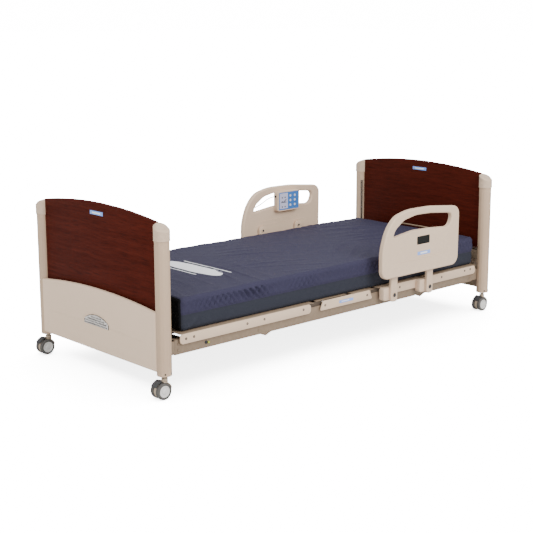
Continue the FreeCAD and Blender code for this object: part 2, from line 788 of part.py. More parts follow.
def mattress_retainer():
    """A bent rod at the head end, on a tab of the deck sheet at each foot."""
    x = mattress_head_x + retainer_gap + retainer_radius
    top = mattress_top_z + retainer_rise
    solids = [rod("y", retainer_radius, (x, top), -retainer_half_width, retainer_half_width)]
    for _, side in SIDES:
        y = side * retainer_half_width
        solids.append(rod("z", retainer_radius, (x, y), tube_top_z, top))
        solids.append(Part.makeSphere(retainer_radius, FreeCAD.Vector(x, y, top)))
        tab_y = (y - 2 * retainer_radius, y + 2 * retainer_radius)
        solids.append(box((deck_head_x - 1, x + retainer_radius), tab_y, (tube_top_z, sheet_top_z)))
    return solids


outer_tube_y = rail_inner_y - ear_width - 5 - lug_width / 2
inner_tube_y = outer_tube_y - lug_width - 5
back_tubes = [
    deck_tube(back_hinge_x, deck_head_x - 20, side * outer_tube_y, [back_hinge_x]) for _, side in SIDES
]
save(
    "back_deck",
    deck_section(
        back_hinge_x + sheet_hinge_gap,
        deck_head_x,
        panel_outer_y,
        back_tubes + lever(back_hinge_x, 1, actuator_y) + mattress_retainer(),
    ),
)
thigh_tubes = [
    deck_tube(thigh_hinge_x, knee_x, side * outer_tube_y, [thigh_hinge_x, knee_x]) for _, side in SIDES
]
thigh_sheet_half = panel_inner_y - side_panel_gap
knee_half = outer_tube_y + lug_width / 2
knee_shaft = rod("y", hinge_radius + running_gap, (knee_x, hinge_z), -knee_half, knee_half)
save(
    "thigh_deck",
    deck_section(
        knee_x + sheet_hinge_gap,
        thigh_hinge_x - sheet_hinge_gap,
        thigh_sheet_half,
        thigh_tubes + lever(thigh_hinge_x, -1, -actuator_y) + [knee_shaft],
    ),
)
calf_tubes = [
    deck_tube(knee_x, deck_foot_x + 20, side * inner_tube_y, [knee_x]).cut(
        rod("y", hinge_radius + 2 * running_gap, (knee_x, hinge_z), -knee_half, knee_half)
    )
    for _, side in SIDES
]
save("calf_deck", deck_section(deck_foot_x, knee_x - sheet_hinge_gap, panel_outer_y, calf_tubes))
head_panel_start = back_hinge_x + head_panel_setback
save(
    "head_side_panels", *[side_panel(head_panel_start, deck_head_x, side) for _, side in SIDES]
)
save(
    "foot_side_panels",
    *[side_panel(deck_foot_x, knee_x - foot_panel_setback, side) for _, side in SIDES],
)


# ---- mattress, cut where the deck folds ---------------------------------------------------------
def fold_gap(angle):
    """How far a block's lower edge stands from a hinge that folds upwards by this angle."""
    half = math.radians(angle) / 2
    depth = sheet_top_z + mattress_rest_gap - hinge_z
    return (mattress_fold_clearance + depth * math.sin(half)) / math.cos(half)


def mattress_block(x_foot, x_head, foot_angle, head_angle):
    """A foam block whose ends lean back by half of each fold's angle."""
    bottom, top = mattress_top_z - mattress_thickness, mattress_top_z
    half_width = panel_inner_y - mattress_side_gap
    foot_lean = mattress_thickness * math.tan(math.radians(foot_angle) / 2)
    head_lean = mattress_thickness * math.tan(math.radians(head_angle) / 2)
    corners = (
        (x_foot + fold_gap(foot_angle), bottom, 0),
        (x_foot + fold_gap(foot_angle) + foot_lean, top, 0),
        (x_head - fold_gap(head_angle) - head_lean, top, 0),
        (x_head - fold_gap(head_angle), bottom, 0),
    )
    return prism(corners, -half_width, half_width)


save("mattress_back", mattress_block(back_hinge_x, mattress_head_x, back_angle, 0))
save("mattress_seat", mattress_block(thigh_hinge_x, back_hinge_x, thigh_angle, back_angle))
save("mattress_thigh", mattress_block(knee_x, thigh_hinge_x, 0, thigh_angle))
save("mattress_calf", mattress_block(mattress_foot_x, knee_x, 0, 0))


# ---- assist rails and their arms ----------------------------------------------------------------
def from_hinge(corners):
    return [(back_hinge_x + x, hinge_z + z, radius) for x, z, radius in corners]


def across(spans):
    return [back_hinge_x + x for x in spans]


def above(spans):
    return [hinge_z + z for z in spans]


def assist_rail(side):
    """A moulded rail with a hand opening, a latch pocket and two pins for its arms."""
    inner, outer = side * assist_inner_y, side * assist_outer_y
    body = prism(from_hinge(rail_outline), inner, outer)
    body = body.cut(prism(from_hinge(opening_outline), inner - side, outer + side))
    body = soften(
        body,
        assist_edge_radius,
        lambda c: abs(abs(c.y) - assist_inner_y) < 0.01 or abs(abs(c.y) - assist_outer_y) < 0.01,
    )
    window = slab(across(window_x), (outer + side, outer - side * window_depth), above(window_z), 5.0)
    solids = [body.cut(window)]
    for x in assist_pivot_x:
        place = (back_hinge_x + x, upper_pivot_z)
        pin = rod("y", assist_pin_radius, place, side * (arm_inner_y - 1), inner)
        head = rod("y", assist_pin_radius + 4, place, side * (arm_inner_y - 4), side * (arm_inner_y - 1))
        solids.append(pin.fuse(head).removeSplitter())
    return solids


def assist_arm(side, x, upper_gap):
    """A flat arm between its bracket's pin and the rail's pin."""
    half = assist_arm_width / 2
    place = back_hinge_x + x
    y = (side * arm_inner_y, side * arm_outer_y)
    corners = (
        (place - half, lower_pivot_z - assist_arm_tail, 14.0),
        (place - half, upper_pivot_z + half, half - 0.5),
        (place + half, upper_pivot_z + half, half - 0.5),
        (place + half, lower_pivot_z - assist_arm_tail, 14.0),
    )
    arm = prism(corners, *y)
    arm = arm.cut(rod("y", assist_pin_radius + running_gap, (place, lower_pivot_z), *y))
    return arm.cut(rod("y", assist_pin_radius + upper_gap, (place, upper_pivot_z), *y))


def rail_bracket(side, x):
    """A block on the deck's side panel with the arm's lower pin."""
    place = back_hinge_x + x
    reach = side * (arm_inner_y - 2)
    block = slab(
        (place - bracket_reach[0], place + bracket_reach[1]),
        (side * panel_outer_y, reach),
        (lower_pivot_z - bracket_bottom_drop, tube_top_z),
        12.0,
    )
    pin = rod("y", assist_pin_radius, (place, lower_pivot_z), reach, side * (arm_outer_y + 1))
    head = rod(
        "y",
        assist_pin_radius + 5,
        (place, lower_pivot_z),
        side * (arm_outer_y + 1),
        side * (assist_inner_y - 1),
    )
    return block.fuse([pin, head]).removeSplitter()


def latch_paddle(side):
    """The release paddle in the rail's recess; it lifts a little."""
    floor = side * (assist_outer_y - window_depth + paddle_rest_gap)
    x = across((window_x[0] + paddle_margin, window_x[1] - paddle_margin))
    z = above((window_z[0] + 3 * paddle_margin, window_z[1] - paddle_margin))
    return slab(x, (floor, floor + side * paddle_thickness), z, 4.0)


for side_name, side in SIDES:
    save(side_name + "_rail", *assist_rail(side))
    save(side_name + "_arm_front", assist_arm(side, assist_pivot_x[0], running_gap))
    save(side_name + "_arm_rear", assist_arm(side, assist_pivot_x[1], assist_open_gap))
    save(side_name + "_rail_paddle", latch_paddle(side))
save("rail_brackets", *[rail_bracket(side, x) for _, side in SIDES for x in assist_pivot_x])


# ---- pendant on the right rail ------------------------------------------------------------------
KEYS = [(x, z) for z in above(key_rows) for x in across(key_columns)]


def pendant_housing():
    """The pendant's case, against the right rail's inner face, with a pocket for each key."""
    back = assist_inner_y
    front = back - pendant_depth
    case = slab(across(pendant_x), (front, back), above(pendant_z), pendant_corner)
    case = soften(case, 4.0, lambda c: abs(c.y - front) < 0.01)
    for x, z in KEYS:
        case = case.cut(rod("y", key_radius + key_gap, (x, z), front - 1, front + key_pocket))
    return case


def pendant_key(x, z):
    front = assist_inner_y - pendant_depth
    back = front + key_pocket - key_travel - key_gap
    key = rod("y", key_radius, (x, z), front - key_proud, back)
    return soften(key, 0.8, lambda c: c.y < front)


def corded_glands():
    """The lead's strain relief on the pendant and its socket on the rail's outer face."""
    x, y, z = cord_points[0]
    relief = rod("x", gland_radius, (y, z), back_hinge_x + pendant_x[0], x)
    x, y, z = cord_points[-1]
    half = socket_block[0] / 2
    socket = box(
        (x - half, x + half), (assist_outer_y, assist_outer_y + socket_block[1]), (z - socket_block[2], z)
    )
    return relief, socket


def cord_tube(points, radius):
    """A tube along straight runs joined by tangent arcs, each as large as its two runs allow."""
    places = [FreeCAD.Vector(*p) for p in points]
    edges = []
    start = places[0]
    radii = []
    for before, corner, after in zip(places, places[1:], places[2:]):
        back, ahead = before - corner, after - corner
        reach = 0.45 * min(back.Length, ahead.Length)
        back.normalize()
        ahead.normalize()
        half = back.getAngle(ahead) / 2
        bend = reach * math.tan(half)
        middle = (back + ahead).normalize() * (bend / math.sin(half) - bend)
        edges.append(Part.LineSegment(start, corner + back * reach).toShape())
        edges.append(Part.Arc(corner + back * reach, corner + middle, corner + ahead * reach).toShape())
        start = corner + ahead * reach
        radii.append(bend)
    edges.append(Part.LineSegment(start, places[-1]).toShape())
    path = Part.Wire(edges)
    ring = Part.Wire(Part.Circle(places[0], places[1] - places[0], radius).toShape())
    tube = path.makePipeShell([ring], True, False)
    print("cord radii (mm):", [round(r, 1) for r in radii], "length", round(path.Length, 1))
    print("cord volume over section x length:", tube.Volume / (math.pi * radius**2 * path.Length))
    return tube


save("pendant_housing", pendant_housing())
for index, (x, z) in enumerate(KEYS):
    save("pendant_key_%d" % (index + 1), pendant_key(x, z))
save("cord_glands", *corded_glands())
save("pendant_cord", cord_tube(cord_points, cord_radius))
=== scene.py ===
import json
import math

import bmesh
import bpy
import numpy as np
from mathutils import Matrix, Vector, noise
from mathutils.bvhtree import BVHTree

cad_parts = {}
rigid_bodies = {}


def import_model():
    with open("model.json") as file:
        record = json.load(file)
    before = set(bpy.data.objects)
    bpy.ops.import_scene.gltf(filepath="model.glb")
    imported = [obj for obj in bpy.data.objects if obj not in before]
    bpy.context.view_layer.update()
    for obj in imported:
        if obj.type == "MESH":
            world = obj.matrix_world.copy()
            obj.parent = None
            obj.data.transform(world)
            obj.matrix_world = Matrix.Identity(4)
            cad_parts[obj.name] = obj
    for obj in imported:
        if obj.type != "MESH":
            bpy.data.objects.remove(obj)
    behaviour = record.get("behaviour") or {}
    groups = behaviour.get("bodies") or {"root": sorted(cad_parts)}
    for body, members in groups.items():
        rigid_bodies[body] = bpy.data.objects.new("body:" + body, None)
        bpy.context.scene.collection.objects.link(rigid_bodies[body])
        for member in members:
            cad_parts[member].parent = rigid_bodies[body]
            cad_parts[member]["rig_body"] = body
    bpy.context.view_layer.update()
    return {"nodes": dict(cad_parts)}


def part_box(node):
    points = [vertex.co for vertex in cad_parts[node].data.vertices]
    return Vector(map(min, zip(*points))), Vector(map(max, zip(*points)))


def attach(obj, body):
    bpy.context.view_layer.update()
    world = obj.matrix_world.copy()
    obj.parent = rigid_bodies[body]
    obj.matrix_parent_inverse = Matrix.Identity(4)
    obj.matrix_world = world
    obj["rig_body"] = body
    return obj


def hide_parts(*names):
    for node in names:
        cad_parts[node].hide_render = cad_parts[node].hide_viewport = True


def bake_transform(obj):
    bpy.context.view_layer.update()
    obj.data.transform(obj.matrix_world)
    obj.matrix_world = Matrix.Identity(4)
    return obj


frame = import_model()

# ---- Room ------------------------------------------------------------------------------------
# A plain white floor and a white sky, with three large soft lamps on the bed and a fourth that only
# the floor takes. None of it belongs to the bed, which keeps its colours in front of the white.
floor_mesh = bpy.data.meshes.new("floor")
floor_mesh.from_pydata([(-90, -90, 0), (90, -90, 0), (90, 90, 0), (-90, 90, 0)], [], [(0, 1, 2, 3)])
floor = bpy.data.objects.new("floor", floor_mesh)
bpy.context.scene.collection.objects.link(floor)
floor_paint = bpy.data.materials.new("floor_paint")
floor_paint.use_nodes = True
floor_nodes = floor_paint.node_tree
floor_shader = floor_nodes.nodes["Principled BSDF"]
floor_shader.inputs["Roughness"].default_value = 0.9
floor_shader.inputs["Specular IOR Level"].default_value = 0.1
floor_ray = floor_nodes.nodes.new("ShaderNodeLightPath")
for socket, unseen, seen in (("Base Color", 0.08, 0.95), ("Emission Strength", 0.0, 4.4)):
    floor_tone = floor_nodes.nodes.new("ShaderNodeMapRange")
    floor_tone.inputs["To Min"].default_value = unseen
    floor_tone.inputs["To Max"].default_value = seen
    floor_nodes.links.new(floor_ray.outputs["Is Camera Ray"], floor_tone.inputs["Value"])
    floor_nodes.links.new(floor_tone.outputs[0], floor_shader.inputs[socket])
floor_shader.inputs["Emission Color"].default_value = (1.0, 1.0, 1.0, 1)
floor_mesh.materials.append(floor_paint)

world = bpy.data.worlds.new("studio")
world.use_nodes = True
sky = world.node_tree.nodes["Background"]
sky.inputs["Color"].default_value = (1.0, 1.0, 1.0, 1)
sky_ray = world.node_tree.nodes.new("ShaderNodeLightPath")
sky_strength = world.node_tree.nodes.new("ShaderNodeMapRange")
sky_strength.inputs["To Min"].default_value = 0.9
sky_strength.inputs["To Max"].default_value = 16.0
world.node_tree.links.new(sky_ray.outputs["Is Camera Ray"], sky_strength.inputs["Value"])
world.node_tree.links.new(sky_strength.outputs[0], sky.inputs["Strength"])
bpy.context.scene.world = world


def hang_lamp(name, kind, power, place, target):
    """A lamp at a place, turned to a target."""
    lamp = bpy.data.lights.new(name, kind)
    lamp.energy = power
    holder = bpy.data.objects.new(name, lamp)
    holder.location = place
    holder.rotation_euler = (Vector(target) - Vector(place)).to_track_quat("-Z", "Y").to_euler()
    bpy.context.scene.collection.objects.link(holder)
    return holder


hang_lamp("key_lamp", "AREA", 330, (0.2, -5.2, 3.6), (0.3, 0, 0.3)).data.size = 3.0
hang_lamp("foot_lamp", "AREA", 150, (-5.0, -2.0, 3.0), (-0.6, 0, 0.4)).data.size = 3.0
hang_lamp("top_lamp", "AREA", 70, (1.0, 0.6, 4.5), (0.2, 0, 0.3)).data.size = 4.0
floor_lamp = hang_lamp("floor_lamp", "SUN", 44, (0.3, 0.4, 5), (0, 0, 0))
floor_lamp.data.angle = math.radians(95)
floor_only = bpy.data.collections.new("floor_only")
floor_only.objects.link(floor)
floor_lamp.light_linking.receiver_collection = floor_only

# ---- Camera ----------------------------------------------------------------------------------
# Eye height of a person standing off the patient's left foot corner, with a long lens.
camera_yaw = math.radians(43.21)
camera_pitch = math.radians(11.08)
view_direction = Vector(
    (
        math.sin(camera_yaw) * math.cos(camera_pitch),
        math.cos(camera_yaw) * math.cos(camera_pitch),
        -math.sin(camera_pitch),
    )
)
lens = bpy.data.cameras.new("camera")
lens.sensor_width = 36
lens.lens = 77.82
lens.shift_x = -0.035
lens.shift_y = -0.0497
camera = bpy.data.objects.new("camera", lens)
camera.location = (-3.9905, -4.2874, 1.6261)
camera.rotation_euler = view_direction.to_track_quat("-Z", "Y").to_euler()
bpy.context.scene.collection.objects.link(camera)
bpy.context.scene.camera = camera

# ---- Pendant lead ------------------------------------------------------------------------------
# Thin limp PVC lead from the pendant's strain relief, through the hand opening of the right rail,
# down to its socket on the rail's outer face. It is extruded round a bundle of fine wires.


def node_group(name, inputs, outputs):
    """A shader group with named inputs (name, value) and named outputs, all plain numbers."""
    group = bpy.data.node_groups.new(name, "ShaderNodeTree")
    for label, value in inputs:
        group.interface.new_socket(label, in_out="INPUT", socket_type="NodeSocketFloat").default_value = value
    for label in outputs:
        group.interface.new_socket(label, in_out="OUTPUT", socket_type="NodeSocketFloat")
    return group, group.nodes.new("NodeGroupInput").outputs, group.nodes.new("NodeGroupOutput").inputs


def add(tree, kind, links=None, **settings):
    """A node with its settings; each named or numbered input is linked or set."""
    node = tree.nodes.new(kind)
    for key, value in settings.items():
        setattr(node, key, value)
    for key, value in (links or {}).items():
        if isinstance(value, bpy.types.NodeSocket):
            tree.links.new(value, node.inputs[key])
        else:
            node.inputs[key].default_value = value
    return node


def make_mottle():
    """Soft clouds and a fine orange peel, from the piece's own coordinates."""
    group, given, result = node_group(
        "mottle", [("Cloud Scale", 4.0), ("Grain Scale", 500.0)], ["Cloud", "Grain"]
    )
    place = add(group, "ShaderNodeTexCoord").outputs["Object"]
    for label, detail in (("Cloud", 4.0), ("Grain", 2.0)):
        spots = {"Vector": place, "Scale": given[label + " Scale"], "Detail": detail}
        group.links.new(add(group, "ShaderNodeTexNoise", spots).outputs["Fac"], result[label])
    return group


def make_edge_wear():
    """A mask that is 1 along worn outer edges, broken up by noise."""
    group, given, result = node_group("edge_wear", [("Amount", 0.5)], ["Wear"])
    shape = add(group, "ShaderNodeNewGeometry")
    ridge = add(group, "ShaderNodeMapRange", {0: shape.outputs["Pointiness"], 1: 0.52, 2: 0.60})
    place = add(group, "ShaderNodeTexCoord").outputs["Object"]
    chips = add(group, "ShaderNodeTexNoise", {"Vector": place, "Scale": 60.0, "Detail": 6.0})
    broken = add(group, "ShaderNodeMapRange", {0: chips.outputs["Fac"], 1: 0.45, 2: 0.65})
    both = add(group, "ShaderNodeMath", {0: ridge.outputs[0], 1: broken.outputs[0]}, operation="MULTIPLY")
    scaled = add(group, "ShaderNodeMath", {0: both.outputs[0], 1: given["Amount"]}, operation="MULTIPLY")
    group.links.new(scaled.outputs[0], result["Wear"])
    return group


mottle = make_mottle()
edge_wear = make_edge_wear()


def blend_colours(tree, share, first, second):
    """A colour mix whose two colours are numbers or sockets."""
    mix = tree.nodes.new("ShaderNodeMix")
    mix.data_type = "RGBA"
    tree.links.new(share, mix.inputs[0])
    for slot, colour in ((6, first), (7, second)):
        if isinstance(colour, bpy.types.NodeSocket):
            tree.links.new(colour, mix.inputs[slot])
        else:
            mix.inputs[slot].default_value = (*colour, 1)
    return mix.outputs[2]


def finish(name, dark, light, roughness, grain, bump, metallic=0.0, coat=0.0, wear=0.0, cloud=3.0, gloss=0.5):
    """A solid finish: two near colours in clouds, varied roughness, fine grain and worn edges."""
    material = bpy.data.materials.new(name)
    material.use_nodes = True
    tree = material.node_tree
    shader = tree.nodes["Principled BSDF"].inputs
    spots = add(tree, "ShaderNodeGroup", node_tree=mottle)
    spots.inputs["Cloud Scale"].default_value = cloud
    spots.inputs["Grain Scale"].default_value = grain
    worn = add(tree, "ShaderNodeGroup", node_tree=edge_wear)
    worn.inputs["Amount"].default_value = wear
    tint = blend_colours(tree, spots.outputs["Cloud"], dark, light)
    pale = [min(1.0, c * 1.35 + 0.02) for c in light]
    tree.links.new(blend_colours(tree, worn.outputs["Wear"], tint, pale), shader["Base Color"])
    spread = {0: spots.outputs["Cloud"], 1: 0.3, 2: 0.7, 3: roughness - 0.05, 4: roughness + 0.05}
    tree.links.new(add(tree, "ShaderNodeMapRange", spread).outputs[0], shader["Roughness"])
    relief = {"Height": spots.outputs["Grain"], "Strength": bump, "Distance": 0.0004}
    tree.links.new(add(tree, "ShaderNodeBump", relief).outputs["Normal"], shader["Normal"])
    shader["Metallic"].default_value = metallic
    shader["Coat Weight"].default_value = coat
    shader["Coat Roughness"].default_value = 0.25
    shader["Specular IOR Level"].default_value = gloss
    return material


lead_points = [
    (0.415, 0.494, 0.604),
    (0.385, 0.4945, 0.603),
    (0.355, 0.497, 0.591),
    (0.330, 0.506, 0.572),
    (0.312, 0.525, 0.556),
    (0.303, 0.550, 0.543),
    (0.300, 0.556, 0.518),
    (0.3015, 0.5545, 0.489),
    (0.304, 0.553, 0.455),
]
lead_line = bpy.data.curves.new("pendant_lead", "CURVE")
lead_line.dimensions = "3D"
lead_line.bevel_depth = 0.0025
lead_line.bevel_resolution = 4
lead_line.resolution_u = 16
route = lead_line.splines.new("NURBS")
route.points.add(len(lead_points) - 1)
for point, place in zip(route.points, lead_points):
    point.co = (*place, 1)
route.order_u = 3
route.use_endpoint_u = True
lead = bpy.data.objects.new("pendant_lead", lead_line)
bpy.context.scene.collection.objects.link(lead)
lead_line.materials.append(
    finish("lead_jacket", (0.10, 0.085, 0.07), (0.14, 0.12, 0.10), 0.5, 2500, 0.15, gloss=0.3)
)
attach(lead, "right_rail")
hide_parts("pendant_cord")
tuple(lead_points[0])

# ---- Posts and caps ----------------------------------------------------------------------------
# Round aluminium extrusions with twelve shallow flutes, in beige powder coat. The slot that the
# deck's carriages climb in is closed by two brush strips, and a moulded cap is pressed on top.


def close_mesh(name, bm, crisp=35):
    """Turn a bmesh into a mesh with smooth faces and crisp edges where it turns sharply."""
    bmesh.ops.recalc_face_normals(bm, faces=bm.faces)
    for face in bm.faces:
        face.smooth = True
    for edge in bm.edges:
        edge.smooth = len(edge.link_faces) != 2 or edge.calc_face_angle(0) < math.radians(crisp)
    mesh = bpy.data.meshes.new(name)
    bm.to_mesh(mesh)
    bm.free()
    return mesh


def fit(name, mesh, material, body, slot, *nodes):
    """Put a mesh on the bed, with its material, its body and the nodes it stands for. Its slot is not used.
    """
    piece = bpy.data.objects.new(name, mesh)
    bpy.context.scene.collection.objects.link(piece)
    mesh.materials.clear()
    mesh.materials.append(material)
    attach(piece, body)
    if nodes:
        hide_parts(*nodes)
    return piece


def paint(node, material):
    """Give a frame node one material all over."""
    mesh = frame["nodes"][node].data
    mesh.materials.clear()
    mesh.materials.append(material)


def block(bm, low, high, round_by=0.0, segments=2):
    """Add a block to a bmesh, with all its edges rounded."""
    made = bmesh.ops.create_cube(bm, size=1)["verts"]
    low, high = Vector(low), Vector(high)
    for vert in made:
        vert.co = [a + (b - a) * (c + 0.5) for a, b, c in zip(low, high, vert.co)]
    if round_by:
        edges = {edge for vert in made for edge in vert.link_edges}
        bmesh.ops.bevel(bm, geom=list(edges), offset=round_by, segments=segments, profile=0.5, affect="EDGES")


def turn(bm, profile, centre, axis, steps=48):
    """Add a turned shape: (radius, distance along the axis) points swept round the axis."""
    axis = Vector(axis).normalized()
    across = axis.orthogonal().normalized()
    other = axis.cross(across)
    rings = []
    for radius, along in profile:
        ring = []
        for i in range(steps if radius > 1e-6 else 1):
            a = 2 * math.pi * i / steps
            out = (across * math.cos(a) + other * math.sin(a)) * radius
            ring.append(bm.verts.new(Vector(centre) + axis * along + out))
        rings.append(ring)
    for inner, outer in zip(rings, rings[1:]):
        for i in range(steps):
            j = (i + 1) % steps
            corners = [
                inner[i % len(inner)], inner[j % len(inner)], outer[j % len(outer)], outer[i % len(outer)]
            ]
            corners = list(dict.fromkeys(corners))
            if len(corners) > 2:
                bm.faces.new(corners)


beige_coat = finish(
    "beige_coat", (0.45, 0.318, 0.212), (0.50, 0.36, 0.25), 0.5, 900, 0.25, wear=0.25, gloss=0.3
)
moulding = finish(
    "beige_moulding", (0.62, 0.462, 0.333), (0.66, 0.498, 0.363), 0.55, 1400, 0.3, wear=0.3, gloss=0.25
)
cap_moulding = finish(
    "cap_moulding", (0.50, 0.375, 0.27), (0.54, 0.41, 0.30), 0.5, 1400, 0.2, wear=0.3, gloss=0.3
)
seal_hair = finish("brush_seal", (0.26, 0.20, 0.15), (0.32, 0.255, 0.195), 0.8, 4000, 0.9, gloss=0.2)
screw_black = finish("screw_black", (0.02, 0.018, 0.016), (0.035, 0.03, 0.028), 0.35, 3000, 0.1, gloss=0.4)

post_x = 1.1125
post_y = 0.465
post_radius = 0.033
post_wall = 0.0035
flute_depth = 0.0007
flute_count = 12
head_posts_low, head_posts_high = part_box("head_posts")
slot_low, slot_high = 0.167, 0.641
seal_tufts = 60
slot_from, slot_to = math.asin(0.016 / post_radius), math.asin(0.030 / post_radius)


def fluted_post(bm, x, y, end, side):
    """One post's wall, as columns round it and rows up it, with the slot left open."""
    angles = sorted([2 * math.pi * i / 120 for i in range(120)] + [slot_from, slot_to])
    rows = [head_posts_low.z, slot_low, slot_high, head_posts_high.z]
    walls = []
    for inset in (0.0, post_wall):
        grid = []
        for z in rows:
            ring = []
            for a in angles:
                groove = max(0.0, math.cos(a * flute_count + math.pi)) ** 3 * flute_depth
                reach = post_radius - inset - (0 if inset else groove)
                ring.append(bm.verts.new((x - end * reach * math.cos(a), y - side * reach * math.sin(a), z)))
            grid.append(ring)
        walls.append(grid)
    count = len(angles)

    def solid(row, i):
        return not (row == 1 and slot_from - 1e-6 <= angles[i] < slot_to - 1e-6)

    for grid in walls:
        for row in range(3):
            for i in range(count):
                if solid(row, i):
                    j = (i + 1) % count
                    bm.faces.new((grid[row][i], grid[row][j], grid[row + 1][j], grid[row + 1][i]))
    rims = [edge for edge in bm.edges if edge.is_boundary]
    outer = {vert for grid in walls[:1] for ring in grid for vert in ring}
    partner = {a: b for ga, gb in zip(walls[0], walls[1]) for a, b in zip(ga, gb)}
    for edge in rims:
        a, b = edge.verts
        if a in outer:
            bm.faces.new((a, b, partner[b], partner[a]))


ENDS = (("head", 1), ("foot", -1))
SIDES = (("left", -1), ("right", 1))
for end_name, end in ENDS:
    posts = bmesh.new()
    for _, side in SIDES:
        one = bmesh.new()
        fluted_post(one, end * post_x, side * post_y, end, side)
        single = bpy.data.meshes.new("post")
        one.to_mesh(single)
        one.free()
        posts.from_mesh(single)
        bpy.data.meshes.remove(single)
    fit(
        end_name + "_fluted_posts",
        close_mesh("posts", posts, 30),
        beige_coat,
        "end_frames",
        "posts",
        end_name + "_posts",
    )

seals = bmesh.new()
collars = bmesh.new()
post_screws = bmesh.new()
for _, end in ENDS:
    for _, side in SIDES:
        x, y = end * post_x, side * post_y
        for angle, lean in ((slot_from, 1), (slot_to, -1)):
            middle = angle + lean * 0.098
            reach = post_radius - 0.0032
            cx, cy = x - end * reach * math.cos(middle), y - side * reach * math.sin(middle)
            tangent = Vector((end * math.sin(middle), -side * math.cos(middle), 0)) * 0.0034
            normal = Vector((-end * math.cos(middle), -side * math.sin(middle), 0)) * 0.0004
            for i in range(seal_tufts):
                z = slot_low + (slot_high - slot_low) * (i + 0.5) / seal_tufts
                wave = normal * (1 + 0.6 * math.sin(i * 1.7))
                rise = Vector((0, 0, (slot_high - slot_low) / 124))
                centre = Vector((cx, cy, z))
                corners = [
                    centre + a * tangent + b * rise + c * wave
                    for c in (-1, 1)
                    for a, b in ((-1, -1), (1, -1), (1, 1), (-1, 1))
                ]
                v = [seals.verts.new(p) for p in corners]
                for f in ((0, 3, 2, 1), (4, 5, 6, 7), (0, 1, 5, 4), (1, 2, 6, 5), (2, 3, 7, 6), (3, 0, 4, 7)):
                    seals.faces.new([v[k] for k in f])
        bead = [
            (0.0335, 0.6915), (0.0352, 0.6915), (0.0366, 0.6925), (0.0366, 0.6955), (0.0357, 0.6975),
            (0.0335, 0.6975),
        ]
        turn(collars, bead, (x, y, 0), (0, 0, 1))
        for lengthwise in (-0.5, 0.5):
            away = Vector((lengthwise, side * 0.87, 0)).normalized()
            head = [(0, 0.0018), (0.002, 0.0017), (0.0036, 0.001), (0.004, 0), (0.004, -0.001)]
            turn(post_screws, head, Vector((x, y, 0.113)) + away * post_radius, away, 16)
fit("slot_brush_strips", close_mesh("seals", seals, 20), seal_hair, "end_frames", "posts")
fit("cap_collars", close_mesh("collars", collars), cap_moulding, "end_frames", "moulded_beige")
fit("post_foot_screws", close_mesh("post_screws", post_screws), screw_black, "end_frames", "dark_plastic")
paint("post_caps", cap_moulding)

# ---- Laminate panels -----------------------------------------------------------------------------
# Twenty millimetre boards faced in dark mahogany laminate with the grain across the bed, their
# edges eased and lipped in the same wood, held in the posts' grooves.


def softened(node, name, material, slot, ease=0.0012, crisp=35, segments=2):
    """A frame node's shape with its square edges eased, which stands for that node."""
    bm = bmesh.new()
    bm.from_mesh(frame["nodes"][node].data)
    bmesh.ops.remove_doubles(bm, verts=bm.verts, dist=2e-5)
    bmesh.ops.dissolve_limit(bm, angle_limit=math.radians(1.5), verts=bm.verts, edges=bm.edges)
    sharp = [e for e in bm.edges if len(e.link_faces) == 2 and e.calc_face_angle(0) > math.radians(crisp)]
    bmesh.ops.bevel(
        bm, geom=sharp, offset=ease, segments=segments, profile=0.5, affect="EDGES", clamp_overlap=True
    )
    body = frame["nodes"][node]["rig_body"]
    return fit(name, close_mesh(name, bm, 30), material, body, slot, node)


def make_mahogany():
    """Dark mahogany with fine pores and long streaks that run across the bed."""
    material = bpy.data.materials.new("mahogany_laminate")
    material.use_nodes = True
    tree = material.node_tree
    shader = tree.nodes["Principled BSDF"].inputs
    place = add(tree, "ShaderNodeTexCoord").outputs["Object"]
    drift = add(tree, "ShaderNodeTexNoise", {"Vector": place, "Scale": 2.2, "Detail": 3.0})
    bent = add(tree, "ShaderNodeMixRGB", {0: 0.035, 1: place, 2: drift.outputs["Color"]})
    stretched = add(tree, "ShaderNodeMapping", {0: bent.outputs[0], "Scale": (5.0, 2.4, 52.0)})
    streaks = {"Vector": stretched.outputs[0], "Scale": 1.6, "Detail": 8.0, "Roughness": 0.62}
    streak = add(tree, "ShaderNodeTexNoise", streaks).outputs["Fac"]
    fine = add(tree, "ShaderNodeMapping", {0: bent.outputs[0], "Scale": (60.0, 14.0, 700.0)})
    pore = add(
        tree, "ShaderNodeTexNoise", {"Vector": fine.outputs[0], "Scale": 1.0, "Detail": 3.0}
    ).outputs["Fac"]
    bands = add(tree, "ShaderNodeMapRange", {0: streak, 1: 0.30, 2: 0.70}).outputs[0]
    wood = blend_colours(tree, bands, (0.046, 0.0066, 0.0034), (0.074, 0.0110, 0.0056))
    pores = add(tree, "ShaderNodeMapRange", {0: pore, 1: 0.50, 2: 0.68, 4: 0.8}).outputs[0]
    tree.links.new(blend_colours(tree, pores, wood, (0.016, 0.0035, 0.0025)), shader["Base Color"])
    rough = add(tree, "ShaderNodeMapRange", {0: streak, 1: 0.3, 2: 0.7, 3: 0.58, 4: 0.5}).outputs[0]
    tree.links.new(rough, shader["Roughness"])
    relief = {"Height": pore, "Strength": 0.25, "Distance": 0.0003}
    tree.links.new(add(tree, "ShaderNodeBump", relief).outputs["Normal"], shader["Normal"])
    shader["Specular IOR Level"].default_value = 0.03
    return material


